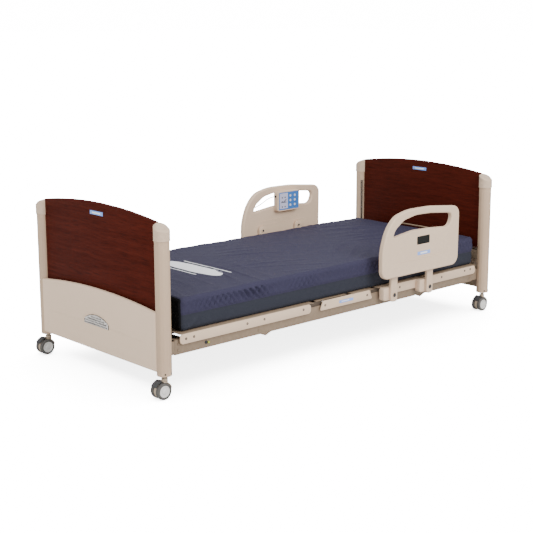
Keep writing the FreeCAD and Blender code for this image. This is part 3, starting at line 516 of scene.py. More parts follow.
mahogany = make_mahogany()
badge_blue = finish("badge_blue", (0.16, 0.33, 0.78), (0.20, 0.38, 0.84), 0.3, 2000, 0.05, gloss=0.4)
badge_white = finish("badge_white", (0.80, 0.83, 0.92), (0.86, 0.89, 0.95), 0.35, 2000, 0.05, gloss=0.4)
for end_name, _ in ENDS:
    softened(end_name + "_wood_panel", end_name + "_laminate_board", mahogany, "laminate", 0.0022, 35, 3)
badge_plates = bmesh.new()
badge_marks = bmesh.new()
for face_x, outward in ((-1.1225, -1), (1.1025, -1)):
    inner, outer = sorted((face_x, face_x + outward * 0.0022))
    block(badge_plates, (inner, -0.050, 0.7440), (outer, 0.050, 0.7615), 0.0008)
    inner, outer = sorted((face_x + outward * 0.002, face_x + outward * 0.0028))
    block(badge_marks, (inner, -0.032, 0.7492), (outer, 0.032, 0.7563), 0.0003)
fit("board_badges", close_mesh("badges", badge_plates), badge_blue, "end_frames", "moulded_beige")
fit("board_badge_bars", close_mesh("badge_bars", badge_marks), badge_white, "end_frames", "moulded_beige")

# ---- Lower end panels ------------------------------------------------------------------------------
# Vacuum-formed panels over each end frame's beams. Below a long raised brow the sheet steps back,
# and the brow arches over a bright ribbed vent plate. The edges are rolled back to the posts.
panel_half = 0.450
panel_low, panel_side, panel_middle = 0.117, 0.380, 0.409
panel_front = post_x + 0.033
panel_depth = 0.014
brow_half, brow_level, brow_top = 0.112, 0.243, 0.292
rim_width, rim_roll = 0.008, 0.006
relief_step = 0.0022
relief_edge = 0.003
even_share = 0.93


def ramp(distance, width):
    """Rises from 0 to 1 over a width and stays level before and beyond it."""
    return min(1.0, max(0.0, distance / width))


def panel_top(y):
    """Height of the panel's arched top edge, from the circle through its sides and middle."""
    rise = panel_middle - panel_side
    reach = (panel_half**2 + rise**2) / (2 * rise)
    return panel_middle - reach + math.sqrt(reach**2 - y**2)


def brow_height(y):
    """Height of the brow's edge: level at the sides, arched over the vent."""
    bow = max(0.0, 1 - (y / brow_half) ** 2) ** 0.6
    return brow_level + (brow_top - brow_level) * bow - 0.012 * abs(y) / panel_half


def lower_panel(end):
    """The panel's front as a grid with its relief, closed by its rims and a plain back."""
    front = end * panel_front
    back = front - end * panel_depth
    bm = bmesh.new()
    ys = []
    for t in np.linspace(-1, 1, 181):
        if abs(t) > even_share:
            ys.append(panel_half * math.sin(math.pi / 2 * t))
        else:
            ys.append(t * panel_half / even_share * math.sin(math.pi / 2 * even_share))
    fronts, backs = [], []
    for y in ys:
        top = panel_top(y)
        column = []
        edge_y = max(0.0, 1 - (panel_half - abs(y)) / rim_width)
        for i in range(61):
            t = 0.5 - 0.5 * math.cos(math.pi * i / 60)
            z = panel_low + (top - panel_low) * (0.6 * i / 60 + 0.4 * t)
            edge_z = max(0.0, 1 - min(z - panel_low, top - z) / rim_width)
            roll = rim_roll * (1 - math.sqrt(max(0.0, 1 - min(1.0, edge_y**2 + edge_z**2))))
            fade = 1 - ramp(abs(y) - 0.30, 0.11)
            below = min(1.0, max(0.0, (brow_height(y) - z) / relief_edge + 0.5))
            deep = ramp(z - 0.135, 0.05)
            step = relief_step * below * fade * deep
            pocket_y = ramp(0.101 - abs(y), relief_edge)
            pocket_z = ramp(z - 0.230, relief_edge) * ramp(brow_height(y) - 0.004 - z, relief_edge)
            reach = front - end * (roll + step + relief_step * pocket_y * pocket_z)
            column.append(bm.verts.new((reach, y, z)))
        fronts.append(column)
        backs.append([bm.verts.new((back, y, panel_low)), bm.verts.new((back, y, top))])
    for (a, b), (c, d) in zip(zip(fronts, fronts[1:]), zip(backs, backs[1:])):
        for i in range(60):
            bm.faces.new((a[i], b[i], b[i + 1], a[i + 1]))
        bm.faces.new((c[0], c[1], d[1], d[0]))
        bm.faces.new((a[0], b[0], d[0], c[0]))
        bm.faces.new((a[-1], b[-1], d[1], c[1]))
    for column, rear in ((fronts[0], backs[0]), (fronts[-1], backs[-1])):
        bm.faces.new([*column, rear[1], rear[0]])
    return close_mesh("panel", bm, 50)


panel_moulding = finish(
    "panel_moulding", (0.70, 0.525, 0.385), (0.74, 0.56, 0.415), 0.55, 1400, 0.3, wear=0.3, gloss=0.25
)
vent_shadow = finish("vent_shadow", (0.055, 0.05, 0.047), (0.08, 0.075, 0.07), 0.6, 1500, 0.3, gloss=0.2)
vent_plate = finish("vent_plate", (0.62, 0.59, 0.56), (0.74, 0.71, 0.68), 0.35, 1500, 0.3, wear=0.4)
for end_name, end in ENDS:
    fit(
        end_name + "_formed_panel",
        lower_panel(end),
        panel_moulding,
        "end_frames",
        "moulded_beige",
        end_name + "_lower_panel",
    )
    vent = bmesh.new()
    front = end * panel_front
    vent_floor = front - end * 0.0046
    for i in range(17):
        y = -0.088 + 0.011 * i
        top = brow_height(y) - 0.010
        inner, outer = sorted((vent_floor, front - end * 0.0005))
        block(vent, (inner, y - 0.0036, 0.2335), (outer, y + 0.0036, top), 0.0012)
    for z in (0.2455, 0.2600):
        inner, outer = sorted((vent_floor, front - end * 0.0014))
        half = 0.094 if z < 0.25 else 0.085
        block(vent, (inner, -half, z - 0.0015), (outer, half, z + 0.0015), 0.0008)
    fit(end_name + "_vent_plate", close_mesh("vent", vent), vent_plate, "end_frames", "moulded_beige")
    # Dark blocks behind and between the ribs, and dark dots on the plate, in vent_shadow: painted shade for
    # the vent's openings, not a dark part.
    holes = bmesh.new()
    for i in range(19):
        y = -0.099 + 0.011 * i
        inner, outer = sorted((vent_floor, front - end * 0.0034))
        block(holes, (inner, y - 0.0052, 0.2325), (outer, y + 0.0052, brow_height(abs(y) + 0.002) - 0.0055))
    for row in range(4):
        for i in range(-8, 9):
            y, z = 0.0105 * i + (0.005 if row % 2 else 0.0), 0.2395 + 0.0105 * row
            if abs(y) < 0.090 and z + 0.006 < brow_height(y) - 0.010:
                spot = [(0, 0.0002), (0.0036, 0.0002), (0.0036, -0.0006), (0, -0.0006)]
                turn(holes, spot, (front - end * 0.0005, y, z), (end, 0, 0), 12)
    fit(end_name + "_vent_hole_shade", close_mesh("holes", holes), vent_shadow, "end_frames", "dark_plastic")

# ---- Beams, screws and sockets of the end frames -----------------------------------------------------
# Welded steel tubes behind the panels, ground lift screws inside the posts, and zinc-plated sockets
# that take the casters' stems. The beams wear the taupe coat of the deck frame.
frame_coat = finish(
    "frame_coat", (0.210, 0.150, 0.100), (0.250, 0.182, 0.124), 0.5, 900, 0.3, wear=0.3, gloss=0.3
)
bright_steel = finish(
    "bright_steel", (0.48, 0.47, 0.45), (0.60, 0.59, 0.57), 0.28, 1800, 0.1, metallic=1.0, wear=0.2
)
softened("end_crossbeams", "end_beam_tubes", frame_coat, "frame_paint")
paint("lift_screws", bright_steel)
softened("caster_sockets", "caster_stem_sockets", bright_steel, "bright_steel", 0.0006)

# ---- Casters ---------------------------------------------------------------------------------------
# Twin-wheel swivel casters: grey rubber tyres on pale nylon hubs, a beige moulded housing with a
# hood over the wheels, and a dark brake pedal. The stem turns in the post's socket.
tyre_rubber = finish(
    "tyre_rubber", (0.075, 0.070, 0.064), (0.105, 0.098, 0.09), 0.65, 1600, 0.5, wear=0.4, gloss=0.3
)
hub_nylon = finish("hub_nylon", (0.68, 0.66, 0.63), (0.74, 0.72, 0.69), 0.42, 1500, 0.2, wear=0.2, gloss=0.35)
caster_shell = finish(
    "caster_shell", (0.42, 0.335, 0.245), (0.47, 0.38, 0.285), 0.5, 1400, 0.3, wear=0.3, gloss=0.3
)
pedal_black = finish(
    "pedal_black", (0.030, 0.030, 0.031), (0.048, 0.048, 0.05), 0.5, 1200, 0.5, wear=0.5, gloss=0.35
)
wheel_radius = 0.0375
caster_trail = 0.020
tyre_section = [
    (0.0262, 0.0), (0.0345, 0.0), (0.0365, 0.0012), (0.0373, 0.0035), (0.0375, 0.0080), (0.0368, 0.0086),
    (0.0368, 0.0094), (0.0375, 0.0100), (0.0373, 0.0145), (0.0365, 0.0168), (0.0345, 0.0180),
    (0.0300, 0.0180), (0.0285, 0.0174), (0.0262, 0.0172), (0.0262, 0.0),
]
hub_section = [
    (0.0, 0.0), (0.0262, 0.0), (0.0262, 0.0166), (0.0250, 0.0176), (0.0236, 0.0176), (0.0228, 0.0166),
    (0.0220, 0.0148), (0.0130, 0.0140), (0.0118, 0.0150), (0.0110, 0.0166), (0.0085, 0.0174), (0.0, 0.0176),
]
for end_name, end in ENDS:
    for side_name, side in SIDES:
        corner = end_name + "_" + side_name
        x, y = end * post_x, side * post_y
        tyres, hubs = bmesh.new(), bmesh.new()
        for out in (-1, 1):
            centre = (x - caster_trail, y + out * 0.010, wheel_radius)
            turn(tyres, tyre_section, centre, (0, out, 0), 64)
            turn(hubs, hub_section, centre, (0, out, 0), 64)
            for i in range(10):
                a = math.pi * 2 * i / 10
                rib = bmesh.new()
                block(rib, (0.0125, 0.0140, -0.0011), (0.0226, 0.0160, 0.0011), 0.0005, 1)
                for vert in rib.verts:
                    r, away, across = vert.co
                    vert.co = (
                        centre[0] + r * math.cos(a) - across * math.sin(a),
                        centre[1] + out * away,
                        centre[2] + r * math.sin(a) + across * math.cos(a),
                    )
                spoke = bpy.data.meshes.new("spoke")
                rib.to_mesh(spoke)
                rib.free()
                hubs.from_mesh(spoke)
                bpy.data.meshes.remove(spoke)
        body = "wheels_" + corner
        fit(
            "tyres_" + corner,
            close_mesh("tyres", tyres, 40),
            tyre_rubber,
            body,
            "caster_tyre",
            "caster_wheels_" + corner,
        )
        fit("hubs_" + corner, close_mesh("hubs", hubs, 30), hub_nylon, body, "caster_beige")
        softened("caster_fork_" + corner, "caster_housing_" + corner, caster_shell, "caster_beige", 0.0012)
        softened("caster_pedal_" + corner, "brake_pedal_" + corner, pedal_black, "dark_plastic", 0.0009)
        hood = bmesh.new()
        rings = []
        for i in range(19):
            a = math.radians(14 + 76 * i / 18)
            ring = []
            for reach, offset in (
                (0.0390, -0.025), (0.0408, -0.0262), (0.0424, -0.0245), (0.0430, -0.018), (0.0430, 0.018),
                (0.0424, 0.0245), (0.0408, 0.0262), (0.0390, 0.025), (0.0398, 0.018), (0.0398, -0.018),
            ):
                ring.append(
                    hood.verts.new(
                        (
                            x - caster_trail + reach * math.cos(a),
                            y + offset,
                            wheel_radius + reach * math.sin(a),
                        )
                    )
                )
            rings.append(ring)
        for a, b in zip(rings, rings[1:]):
            for i in range(10):
                hood.faces.new((a[i], a[(i + 1) % 10], b[(i + 1) % 10], b[i]))
        hood.faces.new(rings[0])
        hood.faces.new(rings[-1])
        fit(
            "caster_hood_" + corner,
            close_mesh("hood", hood),
            caster_shell,
            "caster_" + corner,
            "caster_beige",
        )

# ---- Deck frame --------------------------------------------------------------------------------------
# Two long rectangular steel tubes with welded crossmembers, hinge shafts and hooks, in taupe powder
# coat, with plugged ends and an earth stud. Dark finger guards stand on the tubes beside the deck's
# hinges, and dark strips close the gaps at the calf deck's foot corners.
softened("frame_rails", "long_frame_tubes", frame_coat, "frame_paint", 0.0025)
softened("frame_crossmembers", "frame_cross_tubes", frame_coat, "frame_paint")
softened("lift_carriages", "lift_carriage_blocks", frame_coat, "frame_paint", 0.0008)
softened("iv_sockets", "pole_sockets", frame_coat, "frame_paint", 0.0008)
softened("seat_deck", "seat_deck_sheet", frame_coat, "frame_paint", 0.0006)
for section in ("back", "thigh", "calf"):
    softened(section + "_deck", section + "_deck_sheet", frame_coat, "frame_paint", 0.0006)
black_plug = finish(
    "black_plug", (0.018, 0.018, 0.019), (0.03, 0.03, 0.031), 0.55, 1500, 0.4, wear=0.2, gloss=0.35
)
rails_low, rails_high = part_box("frame_rails")
rail_width = 0.034
plugs = bmesh.new()
for end in (-1, 1):
    for side in (-1, 1):
        x = sorted((end * (rails_high.x - 0.004), end * (rails_high.x + 0.0015)))
        y = sorted((side * (rails_high.y - 0.0025), side * (rails_high.y - rail_width + 0.0025)))
        block(plugs, (x[0], y[0], rails_low.z + 0.0025), (x[1], y[1], rails_high.z - 0.0025), 0.001)
for side in (-1, 1):
    rim = [
        (0.0097, -0.001), (0.0097, 0.0012), (0.0115, 0.0022), (0.0135, 0.0012), (0.0138, -0.003),
        (0.0132, -0.003),
    ]
    turn(plugs, rim, (1.075, side * 0.380, 0.230), (0, 0, 1), 40)
fit("frame_end_plugs", close_mesh("plugs", plugs), black_plug, "deck_frame", "dark_plastic")
guards = bmesh.new()
for side in (-1, 1):
    y = sorted((side * 0.4395, side * 0.4425))
    for x_start, x_end in ((-0.250, -0.130), (0.010, 0.085), (0.185, 0.290)):
        block(guards, (x_start, y[0], rails_high.z - 0.0005), (x_end, y[1], 0.2605), 0.001)
guard_brown = finish("guard_brown", (0.07, 0.052, 0.038), (0.10, 0.075, 0.055), 0.6, 1100, 0.4, gloss=0.2)
fit("hinge_finger_guards", close_mesh("guards", guards), guard_brown, "deck_frame", "dark_plastic")
foot_strips = bmesh.new()
for side in (-1, 1):
    y = sorted((side * 0.4482, side * 0.4505))
    block(foot_strips, (-1.0035, y[0], 0.2365), (-0.940, y[1], 0.2615), 0.0008)
fit(
    "foot_end_gap_strips", close_mesh("foot_strips", foot_strips), guard_brown, "calf_section", "dark_plastic"
)
earth = bmesh.new()
turn(
    earth,
    [(0, 0.004), (0.006, 0.004), (0.0075, 0.003), (0.0075, 0)],
    (-0.865, -rails_high.y, 0.1965),
    (0, -1, 0),
    24,
)
fit("earth_stud_base", close_mesh("earth", earth), black_plug, "deck_frame", "dark_plastic")
earth_yellow = finish("earth_yellow", (0.42, 0.46, 0.03), (0.50, 0.52, 0.05), 0.4, 1500, 0.2)
earth_ring = bmesh.new()
turn(
    earth_ring,
    [(0, 0.007), (0.0035, 0.007), (0.005, 0.0055), (0.005, 0)],
    (-0.852, -rails_high.y, 0.1945),
    (0, -1, 0),
    24,
)
fit("earth_stud_cap", close_mesh("earth_cap", earth_ring), earth_yellow, "deck_frame", "dark_plastic")
bolts = bmesh.new()
for side in (-1, 1):
    for x in (-1.020, -0.550, 0.600, 1.020):
        for z in (0.190, 0.218):
            dome = [
                (0, 0.0032), (0.003, 0.0030), (0.0052, 0.0018), (0.0058, 0), (0.0062, 0), (0.0062, -0.001)
            ]
            turn(bolts, dome, (x, side * rails_high.y, z), (0, side, 0), 20)
fit("frame_bolts", close_mesh("bolts", bolts), frame_coat, "deck_frame", "frame_paint")

# ---- Drives and control box ----------------------------------------------------------------------------
# Four gearmotors and two linear actuators with die-cast grey housings and bright rods, and a matt
# black control box with cooling ribs, which hangs on a steel strap between the frame tubes.
cast_grey = finish(
    "cast_grey", (0.085, 0.085, 0.088), (0.12, 0.12, 0.124), 0.45, 1100, 0.5, metallic=0.4, wear=0.4
)
case_black = finish(
    "case_black", (0.016, 0.016, 0.017), (0.028, 0.028, 0.03), 0.6, 1600, 0.5, wear=0.3, gloss=0.35
)
softened("lift_gearmotors", "gearmotor_housings", cast_grey, "drive_grey", 0.0015)
softened("actuators", "actuator_housings", cast_grey, "drive_grey", 0.0015)
for section in ("back", "knee"):
    softened(section + "_actuator_rod", section + "_push_rod", bright_steel, "bright_steel", 0.0008)
softened("control_box", "control_case", case_black, "dark_plastic", 0.0015)
case_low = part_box("control_box")[0]
ribs = bmesh.new()
for i in range(12):
    x = case_low.x + 0.045 + 0.014 * i
    block(ribs, (x, -0.060, 0.1668), (x + 0.005, 0.060, 0.1706), 0.0008, 1)
fit("control_case_ribs", close_mesh("ribs", ribs), case_black, "deck_frame", "dark_plastic")
motor_bands = bmesh.new()
for end in (-1, 1):
    for side in (-1, 1):
        for along in (0.030, 0.036, 0.042, 0.095):
            band = [(0.0255, -0.0012), (0.0268, -0.0012), (0.0268, 0.0012), (0.0255, 0.0012)]
            turn(motor_bands, band, (end * 0.974, side * (0.412 - along), 0.205), (0, side, 0), 36)
fit("gearmotor_bands", close_mesh("motor_bands", motor_bands), case_black, "deck_frame", "drive_grey")

# ---- Side panels -----------------------------------------------------------------------------------------
# Beige moulded strips along the deck's edges, with rounded ends, held by dark countersunk screws.
# The middle pair is fixed; the head and foot pairs move with their deck sections.
for where in ("middle", "head", "foot"):
    softened(where + "_side_panels", where + "_edge_strips", moulding, "moulded_beige", 0.0012)
strip_face = 0.460
screw_places = {
    "foot": (
        "calf_section",
        ((-0.987, 0.2385), (-0.943, 0.2400), (-0.631, 0.2400), (-0.526, 0.2420), (-0.274, 0.2420)),
    ),
    "middle": ("deck_frame", ((-0.128, 0.2390), (0.172, 0.2390))),
    "head": ("back_section", ((0.420, 0.2400), (0.760, 0.2400), (0.958, 0.2440), (1.006, 0.2460))),
}
for where, (body, places) in screw_places.items():
    screws = bmesh.new()
    for x, z in places:
        for side in (-1, 1):
            head = [
                (0, -0.0004), (0.0018, -0.0006), (0.0020, 0.0006), (0.0046, 0.0012), (0.0060, 0.0002),
                (0.0060, -0.0008),
            ]
            turn(screws, head, (x, side * strip_face, z), (0, side, 0), 20)
    fit(where + "_strip_screws", close_mesh("screws", screws), screw_black, body, "dark_plastic")
label_blue = finish("label_blue", (0.20, 0.34, 0.76), (0.24, 0.38, 0.80), 0.35, 2000, 0.05, gloss=0.4)
label_white = finish("label_white", (0.80, 0.84, 0.95), (0.86, 0.89, 0.96), 0.35, 2000, 0.05, gloss=0.4)
strip_labels, strip_bars = bmesh.new(), bmesh.new()
for side in (-1, 1):
    y = sorted((side * (strip_face - 0.0003), side * (strip_face + 0.0006)))
    block(strip_labels, (-0.030, y[0], 0.2315), (0.070, y[1], 0.2455), 0.0002, 1)
    y = sorted((side * strip_face, side * (strip_face + 0.0009)))
    block(strip_bars, (-0.014, y[0], 0.2365), (0.040, y[1], 0.2405), 0.0002, 1)
fit("edge_strip_labels", close_mesh("labels", strip_labels), label_blue, "deck_frame", "moulded_beige")
fit("edge_strip_label_bars", close_mesh("label_bars", strip_bars), label_white, "deck_frame", "moulded_beige")

# ---- Assist rails --------------------------------------------------------------------------------------
# Blow-moulded beige rails with a hand opening, hung on two flat steel arms each. A dark latch pocket
# with its paddle is let into the outer face above a blue label. Both faces have raised moulding lines.
latch_dark = finish("latch_dark", (0.006, 0.0065, 0.0055), (0.013, 0.0135, 0.012), 0.6, 1500, 0.4, gloss=0.12)
rail_outer, rail_inner = 0.540, 0.510
arm_pivot_xs = (0.325, 0.605)
pivot_height, pivot_plane = 0.222, 0.509
label_x, label_z = 0.510, 0.423
pocket_corner_radius = 0.005
line_steps = 60


def moulded_line(bm, face_y, outward, start, end):
    """Add a shallow raised line on a rail's face, from start to end (x, z), fading out at both ends."""
    previous = None
    for i in range(line_steps + 1):
        t = i / line_steps
        x, z = (a + (b - a) * t for a, b in zip(start, end))
        height = 0.0010 * min(1.0, 8 * t, 8 * (1 - t))
        ring = [
            bm.verts.new((x, face_y + outward * lift, z + rise))
            for lift, rise in ((-0.001, -0.0018), (height, -0.0007), (height, 0.0007), (-0.001, 0.0018))
        ]
        if previous:
            for k in range(4):
                bm.faces.new((previous[k], previous[(k + 1) % 4], ring[(k + 1) % 4], ring[k]))
        else:
            bm.faces.new(ring)
        previous = ring
    bm.faces.new(previous)


for side_name, side in SIDES:
    body = side_name + "_rail"
    paint(body, moulding)
    softened(side_name + "_rail_paddle", side_name + "_latch_paddle", latch_dark, "dark_plastic", 0.0012)
    for arm in ("front", "rear"):
        softened(
            side_name + "_arm_" + arm, side_name + "_" + arm + "_arm_plate", moulding, "frame_paint", 0.0014
        )
    liner = bmesh.new()
    outline = []
    for cx, cz, first in ((0.547, 0.506, 0), (0.461, 0.506, 90), (0.461, 0.476, 180), (0.547, 0.476, 270)):
        for k in range(7):
            a = math.radians(first + 15 * k)
            outline.append((cx + pocket_corner_radius * math.cos(a), cz + pocket_corner_radius * math.sin(a)))
    middle_x, middle_z = 0.504, 0.491
    loops = []
    for grow, depth in (
        (1.022, -0.0006), (1.022, 0.0007), (0.965, 0.0007), (0.955, -0.0008), (0.955, -0.0152)
    ):
        loop = []
        for px, pz in outline:
            place = (
                middle_x + (px - middle_x) * grow,
                side * (rail_outer + depth),
                middle_z + (pz - middle_z) * (grow if grow < 1 else 1 + (grow - 1) * 2.4),
            )
            loop.append(liner.verts.new(place))
        loops.append(loop)
    for a, b in zip(loops, loops[1:]):
        for i in range(len(a)):
            j = (i + 1) % len(a)
            liner.faces.new((a[i], a[j], b[j], b[i]))
    liner.faces.new(loops[-1])
    liner.faces.new(loops[0])
    fit(side_name + "_latch_pocket", close_mesh("liner", liner, 30), latch_dark, body, "dark_plastic")
    line = bmesh.new()
    moulded_line(line, side * rail_outer, side, (0.262, 0.3905), (0.717, 0.4005))
    moulded_line(line, side * rail_inner, -side, (0.300, 0.4700), (0.640, 0.4760))
    moulded_line(line, side * rail_inner, -side, (0.262, 0.4440), (0.700, 0.4510))
    fit(side_name + "_rail_moulding_line", close_mesh("line", line, 60), moulding, body, "moulded_beige")
    for name, half, height, proud, blue in (
        ("label", 0.050, 0.009, 0.0007, True), ("label_bar", 0.027, 0.004, 0.0011, False)
    ):
        plate = bmesh.new()
        y = sorted((side * (rail_outer - 0.0004), side * (rail_outer + proud)))
        block(
            plate,
            (label_x - half, y[0], label_z - height),
            (label_x + half, y[1], label_z + height),
            0.0003,
            1,
        )
        fit(
            side_name + "_rail_" + name,
            close_mesh("plate", plate),
            label_blue if blue else label_white,
            body,
            "moulded_beige",
        )
    covers = bmesh.new()
    for x in arm_pivot_xs:
        dome = [
            (0, -0.005), (0.003, -0.0048), (0.0058, -0.003), (0.0070, 0), (0.0074, 0.0006), (0.0074, 0.003),
            (0, 0.003),
        ]
        turn(covers, dome, (x, side * 0.489, 0.420), (0, side, 0), 28)
    for x, z in ((0.268, 0.365), (0.300, 0.372), (0.650, 0.372), (0.682, 0.378), (0.460, 0.352)):
        dome = [(0, -0.0015), (0.0025, -0.0013), (0.0042, 0), (0.0042, 0.001)]
        turn(covers, dome, (x, side * rail_inner, z), (0, side, 0), 20)
    fit(side_name + "_rail_bolt_heads", close_mesh("covers", covers), screw_black, body, "dark_plastic")
softened("rail_brackets", "rail_bracket_blocks", moulding, "frame_paint", 0.0015)
pivot_bolts = bmesh.new()
pivot_head = [
    (0, 0.0001), (0.0032, 0.0001), (0.0045, 0.0007), (0.0092, 0.0005), (0.0108, -0.0002), (0.0108, -0.001)
]
for side in (-1, 1):
    for x in arm_pivot_xs:
        turn(pivot_bolts, pivot_head, (x, side * pivot_plane, pivot_height), (0, side, 0), 28)
fit("arm_pivot_bolts", close_mesh("pivots", pivot_bolts), screw_black, "back_section", "dark_plastic")

# ---- Pendant ---------------------------------------------------------------------------------------------
# A flat beige hand control clipped in the right rail's hand opening, its face printed in two halves:
# a pale half with dark picture signs, and a blue half round six white keys.
pendant_blue = finish("pendant_blue", (0.050, 0.165, 0.47), (0.065, 0.195, 0.52), 0.4, 2600, 0.05, gloss=0.3)
pendant_pale = finish("pendant_pale", (0.50, 0.50, 0.66), (0.56, 0.56, 0.71), 0.4, 2600, 0.05, gloss=0.3)
pendant_ink = finish("pendant_ink", (0.012, 0.012, 0.016), (0.02, 0.02, 0.025), 0.5, 2600, 0.05, gloss=0.3)
key_white = finish("key_white", (0.62, 0.63, 0.67), (0.70, 0.71, 0.74), 0.4, 2200, 0.1, gloss=0.4)
paint("pendant_housing", moulding)
paint("cord_glands", latch_dark)
for index in range(1, 7):
    paint("pendant_key_%d" % index, key_white)
pendant_low, pendant_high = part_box("pendant_housing")
face_y = pendant_low.y
key_centres = [(x, z) for z in (0.548, 0.575, 0.602) for x in (0.527, 0.562)]


def printed(name, x, z, proud, material, body="right_rail", holes=()):
    """A thin printed plate on the pendant's face, with a round hole for each key on it."""
    bm = bmesh.new()
    columns = np.linspace(x[0], x[1], max(2, int((x[1] - x[0]) / 0.0012)))
    rows = np.linspace(z[0], z[1], max(2, int((z[1] - z[0]) / 0.0012)))
    verts = [[bm.verts.new((cx, face_y - proud, cz)) for cz in rows] for cx in columns]
    for i in range(len(columns) - 1):
        for j in range(len(rows) - 1):
            cx, cz = (columns[i] + columns[i + 1]) / 2, (rows[j] + rows[j + 1]) / 2
            if all(math.hypot(cx - hx, cz - hz) > 0.0078 for hx, hz in holes):
                bm.faces.new((verts[i][j], verts[i][j + 1], verts[i + 1][j + 1], verts[i + 1][j]))
    bmesh.ops.delete(bm, geom=[v for v in bm.verts if not v.link_faces], context="VERTS")
    kept = bm.faces[:]
    made = bmesh.ops.extrude_face_region(bm, geom=kept)
    for vert in (g for g in made["geom"] if isinstance(g, bmesh.types.BMVert)):
        vert.co.y = face_y + 0.0002
    return fit(name, close_mesh(name, bm), material, body, "moulded_beige")


left, right = pendant_low.x + 0.012, pendant_high.x - 0.008
low, high = pendant_low.z + 0.009, pendant_high.z - 0.008
printed("pendant_blue_face", (left, right), (low, high), 0.0006, pendant_blue, holes=key_centres)
printed("pendant_pale_face", (left + 0.005, left + 0.068), (low + 0.006, high - 0.005), 0.0009, pendant_pale)
signs = bmesh.new()


def sign(corners, proud=0.0013):
    """A flat picture sign on the pendant's face, from its corners."""
    front = [signs.verts.new((x, face_y - proud, z)) for x, z in corners]
    back = [signs.verts.new((x, face_y - 0.0004, z)) for x, z in corners]
    signs.faces.new(front)
    signs.faces.new(back[::-1])
    for i in range(len(corners)):
        j = (i + 1) % len(corners)
        signs.faces.new((front[i], front[j], back[j], back[i]))


middle = left + 0.036
for z, up in ((0.592, 1), (0.545, -1)):
    for shift in (-0.012, 0.010):
        sign([(middle + shift - 0.006, z), (middle + shift + 0.006, z), (middle + shift, z + up * 0.009)])
sign([(middle - 0.020, 0.566), (middle + 0.020, 0.566), (middle + 0.020, 0.570), (middle - 0.020, 0.570)])
sign([(middle - 0.002, 0.571), (middle + 0.004, 0.571), (middle + 0.020, 0.582), (middle + 0.016, 0.585)])
sign([(middle - 0.020, 0.571), (middle - 0.012, 0.576), (middle - 0.003, 0.571)])
for x, z in key_centres:
    sign([(x - 0.0028, z - 0.0105), (x + 0.0028, z - 0.0105), (x, z - 0.0128)], 0.0010)
fit("pendant_signs", close_mesh("signs", signs), pendant_ink, "right_rail", "black_plastic")

# ---- Mattress ----------------------------------------------------------------------------------------------
# A foam care mattress in two fabrics: a loose violet-blue stretch cover over the top and upper sides,
# and a darker coated base, joined by a lipped seam.
# The foot-end face is near black: painted shade for the deep shade between it and the foot panel.
mattress_boxes = [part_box("mattress_" + part) for part in ("calf", "thigh", "seat", "back")]
bed_low = Vector([min(box[0][i] for box in mattress_boxes) for i in range(3)])
bed_high = Vector([max(box[1][i] for box in mattress_boxes) for i in range(3)])
seam_z = 0.341
corner_round = 0.024
cut_thigh, cut_head = -0.055, 0.140
settle_frames = 25
furthest_shift = 0.011


def spaced(low, high, step, marks=()):
    """Grid lines along one side of the mattress, closer together where its corners are round."""
    bend = [corner_round * (1 - math.tan(math.radians(a))) for a in (45, 33.75, 22.5, 11.25)]
    flat = np.linspace(
        low + corner_round, high - corner_round, int(round((high - low - 2 * corner_round) / step)) + 1
    )
    flat = list(flat)
    for mark in marks:
        nearest = min(range(len(flat)), key=lambda i: abs(flat[i] - mark))
        flat[nearest] = mark
    return [low + b for b in bend] + flat + [high - b for b in reversed(bend)]


grid_step = 0.0145
along_step = 0.011
lines = [
    spaced(bed_low.x, bed_high.x, along_step, (cut_thigh, cut_head)),
    spaced(bed_low.y, bed_high.y, grid_step),
    spaced(bed_low.z, bed_high.z, 0.0125, (seam_z,)),
]
counts = [len(line) for line in lines]
bm = bmesh.new()
found = {}


def corner(i, j, k):
    """The mattress's surface point at a grid place, pushed in where an edge is rounded."""
    if (i, j, k) not in found:
        place = Vector((lines[0][i], lines[1][j], lines[2][k]))
        core = Vector(
            min(max(c, low + corner_round), high - corner_round)
            for c, low, high in zip(place, bed_low, bed_high)
        )
        out = place - core
        if out.length > 1e-9:
            place = core + out.normalized() * corner_round
        found[i, j, k] = bm.verts.new(place)
    return found[i, j, k]


for axis in range(3):
    u, v = [a for a in range(3) if a != axis]
    for level in (0, counts[axis] - 1):
        for a in range(counts[u] - 1):
            for b in range(counts[v] - 1):
                quad = []
                for da, db in ((0, 0), (1, 0), (1, 1), (0, 1)):
                    index = [0, 0, 0]
                    index[axis], index[u], index[v] = level, a + da, b + db
                    quad.append(corner(*index))
                face = bm.faces.new(quad)
                middle = face.calc_center_median()
                part = 0 if middle.x < cut_thigh else (1 if middle.x < cut_head else 2)
                # Faces at the foot end take the third material, a near-black painted shade.
                foot_end = axis == 0 and level == 0
                face.material_index = 3 * part + (2 if foot_end else (0 if middle.z > seam_z else 1))
bmesh.ops.recalc_face_normals(bm, faces=bm.faces)
cover_mesh = bpy.data.meshes.new("mattress_cover")
bm.to_mesh(cover_mesh)
bm.free()
for _ in range(9):
    cover_mesh.materials.append(moulding)
cover = bpy.data.objects.new("mattress_cover", cover_mesh)
bpy.context.scene.collection.objects.link(cover)
rest = np.array([v.co for v in cover_mesh.vertices], float)
top_z = bed_high.z


def band(z, low, high):
    """1 between two heights, easing to 0 over 6 mm outside them."""
    return max(0.0, min(1.0, (z - low) / 0.006 + 1, (high - z) / 0.006 + 1))


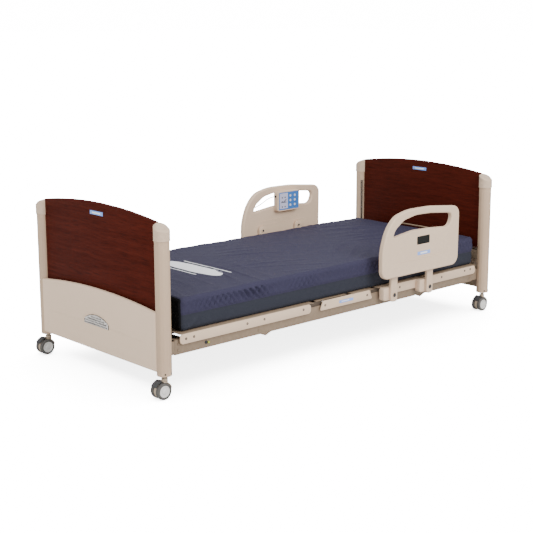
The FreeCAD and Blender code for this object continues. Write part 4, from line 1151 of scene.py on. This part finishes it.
hold = cover.vertex_groups.new(name="hold")
loose = cover.vertex_groups.new(name="loose")
for index, (x, y, z) in enumerate(rest):
    on_top = z > top_z - 0.002
    firm = 1.0 if z < seam_z + 0.001 else (0.62 if on_top else 0.42)
    hold.add([index], firm, "REPLACE")
    gathers = 0.35 + 0.65 * math.exp(-(((x + 0.55) / 0.26) ** 2)) + 0.3 * math.exp(-(((x - 0.9) / 0.15) ** 2))
    side_share = band(z, seam_z, top_z - 0.01)
    loose.add([index], min(1.0, 0.30 + 0.7 * gathers * side_share) if z > seam_z else 0.0, "REPLACE")
    shake = noise.noise(Vector((x, y, z)) * 23.0) * 0.0011
    if z > seam_z + 0.004:
        cover_mesh.vertices[index].co += Vector((shake, shake, shake)) * (1 if on_top else 2)
cloth = cover.modifiers.new("cloth", "CLOTH")
fabric = cloth.settings
fabric.quality = 5
fabric.mass = 0.25
fabric.tension_stiffness = 12
fabric.compression_stiffness = 12
fabric.shear_stiffness = 4
fabric.bending_stiffness = 0.12
fabric.vertex_group_mass = "hold"
fabric.pin_stiffness = 0.8
fabric.use_pressure = True
fabric.uniform_pressure_force = 0.8
fabric.vertex_group_shrink = "loose"
fabric.shrink_min = 0.0
fabric.shrink_max = -0.085
fabric.effector_weights.gravity = 0
cloth.collision_settings.use_collision = False
for step in range(1, settle_frames + 1):
    bpy.context.scene.frame_set(step)
settled = cover.evaluated_get(bpy.context.evaluated_depsgraph_get())
moved = np.array([v.co for v in settled.data.vertices], float)
cover.modifiers.clear()
bpy.context.scene.frame_set(1)
shift = moved - rest
far = np.maximum(np.linalg.norm(shift, axis=1), 1e-9)
shift *= np.minimum(1.0, furthest_shift / far)[:, None]
settled_points = rest + shift
for index, (x, y, z) in enumerate(rest):
    out = Vector((0, 0, 0))
    if abs(y) > bed_high.y - corner_round:
        out.y = math.copysign(1, y)
    if min(x - bed_low.x, bed_high.x - x) < corner_round:
        out.x = 1 if x > 0 else -1
    if z < top_z - 0.001 and out.length:
        over = z - seam_z
        lip = 0.0045 * math.exp(-max(0.0, over) / 0.010) if over > 0.001 else -0.0045 * math.exp(over / 0.012)
        crease = noise.noise(Vector((x * 3.1 + 7, y * 3.1, z * 8))) * 0.0016
        settled_points[index] += np.array(out.normalized() * (lip + crease - 0.002))
    elif z >= top_z - 0.001:
        swell = noise.noise(Vector((x * 2.3, y * 3.4, 4.0))) * 0.0022
        swell += noise.noise(Vector((x * 5.0 + y * 2.0, y * 16.0, 9.0))) * 0.0009
        settled_points[index][2] += swell - 0.0015
cover_mesh.vertices.foreach_set("co", settled_points.astype(np.float32).ravel())
cover_mesh.update()
rounder = cover.modifiers.new("rounder", "SUBSURF")
rounder.levels = 1
rounder.render_levels = 1
fine = bpy.data.meshes.new_from_object(cover.evaluated_get(bpy.context.evaluated_depsgraph_get()))
cover.modifiers.clear()
cover.data = fine
for vert in fine.vertices:
    x, y, z = vert.co
    lift, out = 0.0, Vector((0, 0, 0))
    if abs(y) > bed_high.y - 0.020 and z < top_z - 0.006:
        out.y = math.copysign(1, y)
        sway = noise.noise(Vector((x * 5.0, y, 3.0)))
        where = (
            math.exp(-(((x + 0.55) / 0.32) ** 2))
            + 0.35 * math.exp(-(((x - 0.62) / 0.35) ** 2))
            + 0.12
        )
        share = band(z, seam_z + 0.012, top_z - 0.026) * where
        lean = z - seam_z
        for tilt, length, seed in ((0.75, 0.034, 1.0), (-0.6, 0.029, 8.0)):
            patch = max(0.0, noise.noise(Vector((x * 6.5, z * 9.0, seed))) + 0.36)
            lift += 0.0105 * share * patch * math.sin(2 * math.pi * (x + tilt * lean) / length + 5 * sway)
        if z < seam_z:
            lift += 0.0012 * noise.noise(Vector((x * 4 - z * 9, z * 22, 5.0)))
            fold = (x + 0.985 - 1.5 * (z - 0.262)) / 0.014
            lift += 0.0042 * math.exp(-(fold**2)) * math.exp(-(((z - 0.285) / 0.035) ** 2))
    elif z > top_z - 0.006:
        out.z = 1
        for turn_by, stretch, seed in ((0.62, 11.0, 2.0), (-0.35, 9.0, 6.0), (1.35, 13.0, 12.0)):
            run = x * math.cos(turn_by) + y * math.sin(turn_by)
            cross = y * math.cos(turn_by) - x * math.sin(turn_by)
            ripple = 1 - min(1.0, 5.0 * abs(noise.noise(Vector((run * 1.6, cross * stretch, seed)))))
            patch = max(0.0, noise.noise(Vector((x * 2.2, y * 2.2, seed + 3))) + 0.05)
            lift += 0.0085 * patch * ripple
    vert.co += out * lift


def make_cover_cloth(name, dark, light, knit, sheen):
    """Coated stretch fabric: a fine knit, faint lengthwise shading and a soft sheen."""
    material = bpy.data.materials.new(name)
    material.use_nodes = True
    tree = material.node_tree
    shader = tree.nodes["Principled BSDF"].inputs
    place = add(tree, "ShaderNodeTexCoord").outputs["Object"]
    spots = add(tree, "ShaderNodeGroup", node_tree=mottle)
    spots.inputs["Cloud Scale"].default_value = 2.6
    spots.inputs["Grain Scale"].default_value = 420.0
    tint = blend_colours(tree, spots.outputs["Cloud"], dark, light)
    rub = add(tree, "ShaderNodeTexNoise", {"Vector": place, "Scale": 34.0, "Detail": 5.0}).outputs["Fac"]
    rubbed = add(tree, "ShaderNodeMapRange", {0: rub, 1: 0.55, 2: 0.75, 4: 0.35}).outputs[0]
    tree.links.new(blend_colours(tree, rubbed, tint, [c * 1.25 for c in light]), shader["Base Color"])
    warp = {"Vector": place, "Scale": knit, "Distortion": 1.5}
    ribs = add(tree, "ShaderNodeTexWave", warp, bands_direction="X").outputs["Fac"]
    weft = add(tree, "ShaderNodeTexWave", warp, bands_direction="DIAGONAL").outputs["Fac"]
    both = add(tree, "ShaderNodeMath", {0: ribs, 1: weft}, operation="ADD").outputs[0]
    whole = add(tree, "ShaderNodeMath", {0: both, 1: spots.outputs["Grain"]}, operation="ADD").outputs[0]
    relief = {"Height": whole, "Strength": 0.35, "Distance": 0.0003}
    tree.links.new(add(tree, "ShaderNodeBump", relief).outputs["Normal"], shader["Normal"])
    rough = {0: spots.outputs["Cloud"], 1: 0.3, 2: 0.7, 3: 0.62, 4: 0.72}
    tree.links.new(add(tree, "ShaderNodeMapRange", rough).outputs[0], shader["Roughness"])
    shader["Specular IOR Level"].default_value = 0.12
    shader["Sheen Weight"].default_value = sheen
    shader["Sheen Roughness"].default_value = 0.4
    shader["Sheen Tint"].default_value = (0.75, 0.78, 1.0, 1)
    return material


cover_violet = make_cover_cloth("cover_violet", (0.0275, 0.0255, 0.051), (0.035, 0.0325, 0.063), 260.0, 0.02)
base_slate = make_cover_cloth("base_slate", (0.0205, 0.0225, 0.032), (0.027, 0.029, 0.040), 320.0, 0.01)
# Near black: painted shade on the foot-end face, for the deep shade between it and the foot panel.
foot_end_shade = make_cover_cloth("foot_end_shade", (0.004, 0.004, 0.005), (0.007, 0.007, 0.009), 320.0, 0.0)
pieces = (
    (
        "mattress_foot",
        0,
        ("calf_section", "thigh_section"),
        (-0.310, 0, 0.42),
        (-0.070, 0, 0.42),
        ("mattress_calf",),
    ),
    (
        "mattress_middle",
        1,
        ("thigh_section", "deck_frame"),
        (-0.040, 0, 0.42),
        (0.125, 0, 0.42),
        ("mattress_thigh",),
    ),
    (
        "mattress_head",
        2,
        ("deck_frame", "back_section"),
        (0.155, 0, 0.42),
        (0.435, 0, 0.42),
        ("mattress_seat", "mattress_back"),
    ),
)
for name, part, bodies, start, end, nodes in pieces:
    one = bmesh.new()
    one.from_mesh(cover.data)
    other = [face for face in one.faces if face.material_index // 3 != part]
    bmesh.ops.delete(one, geom=other, context="FACES")
    for face in one.faces:
        face.smooth = True
        face.material_index %= 3
    rims = [edge for edge in one.edges if edge.is_boundary]
    caps = bmesh.ops.edgeloop_fill(one, edges=rims, mat_nr=1)["faces"]
    bmesh.ops.triangulate(one, faces=caps)
    for edge in rims:
        edge.smooth = False
    bmesh.ops.recalc_face_normals(one, faces=one.faces)
    mesh = bpy.data.meshes.new(name)
    one.to_mesh(mesh)
    one.free()
    for material in (cover_violet, base_slate, foot_end_shade):
        mesh.materials.append(material)
    piece = bpy.data.objects.new(name, mesh)
    bpy.context.scene.collection.objects.link(piece)
    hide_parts(*nodes)
    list(bodies)
    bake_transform(piece)
    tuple(start)
    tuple(end)

# ---- Prints on the mattress --------------------------------------------------------------------------------
# Three plain pale prints in flexible ink on the cover's top near the foot: a long patch with round ends
# across the bed, and a thin line on each side of it. They lie on the cover and ride on the calf section.
top_lookup = BVHTree.FromPolygons(
    [v.co.copy() for v in cover.data.vertices], [tuple(p.vertices) for p in cover.data.polygons]
)
bpy.data.objects.remove(cover)


def printed_on_top(name, x, y, half_x, half_y, round_ends, thickness, material):
    """A thin print that lies on the cover's top, with straight sides and round ends."""
    bm = bmesh.new()
    steps = 56
    loops = []
    for share in np.linspace(1.0, 0.0, 9):
        loop = []
        for i in range(steps):
            a = 2 * math.pi * i / steps
            if round_ends:
                px = half_x * math.copysign(abs(math.cos(a)) ** 0.8, math.cos(a))
                py = half_y * math.copysign(abs(math.sin(a)) ** 0.8, math.sin(a))
            else:
                px = half_x * max(-1.0, min(1.0, 1.5 * math.cos(a)))
                py = half_y * max(-1.0, min(1.0, 1.5 * math.sin(a)))
            place = Vector((x + px * share, y + py * share, 0.5))
            hit = top_lookup.ray_cast(place, Vector((0, 0, -1)))[0]
            loop.append((place.x, place.y, hit.z))
            if share == 0.0:
                break
        loops.append(loop)
    low_ring = [bm.verts.new((px, py, pz - 0.0003)) for px, py, pz in loops[0]]
    rings = [low_ring] + [[bm.verts.new((px, py, pz + thickness)) for px, py, pz in loop] for loop in loops]
    for outer, inner in zip(rings, rings[1:]):
        for i in range(steps):
            j = (i + 1) % steps
            corners = list(dict.fromkeys([outer[i], outer[j], inner[j % len(inner)], inner[i % len(inner)]]))
            bm.faces.new(corners)
    bm.faces.new(low_ring[::-1])
    fit(name, close_mesh(name, bm, 60), material, "calf_section", "mattress")


patch_white = finish("patch_white", (0.80, 0.81, 0.84), (0.88, 0.89, 0.91), 0.5, 900, 0.3, gloss=0.3)
printed_on_top("cover_patch", -0.580, 0.0, 0.052, 0.212, True, 0.0006, patch_white)
printed_on_top("cover_print_head", -0.505, -0.02, 0.004, 0.180, False, 0.0006, patch_white)
printed_on_top("cover_print_foot", -0.655, 0.0, 0.004, 0.120, False, 0.0006, patch_white)
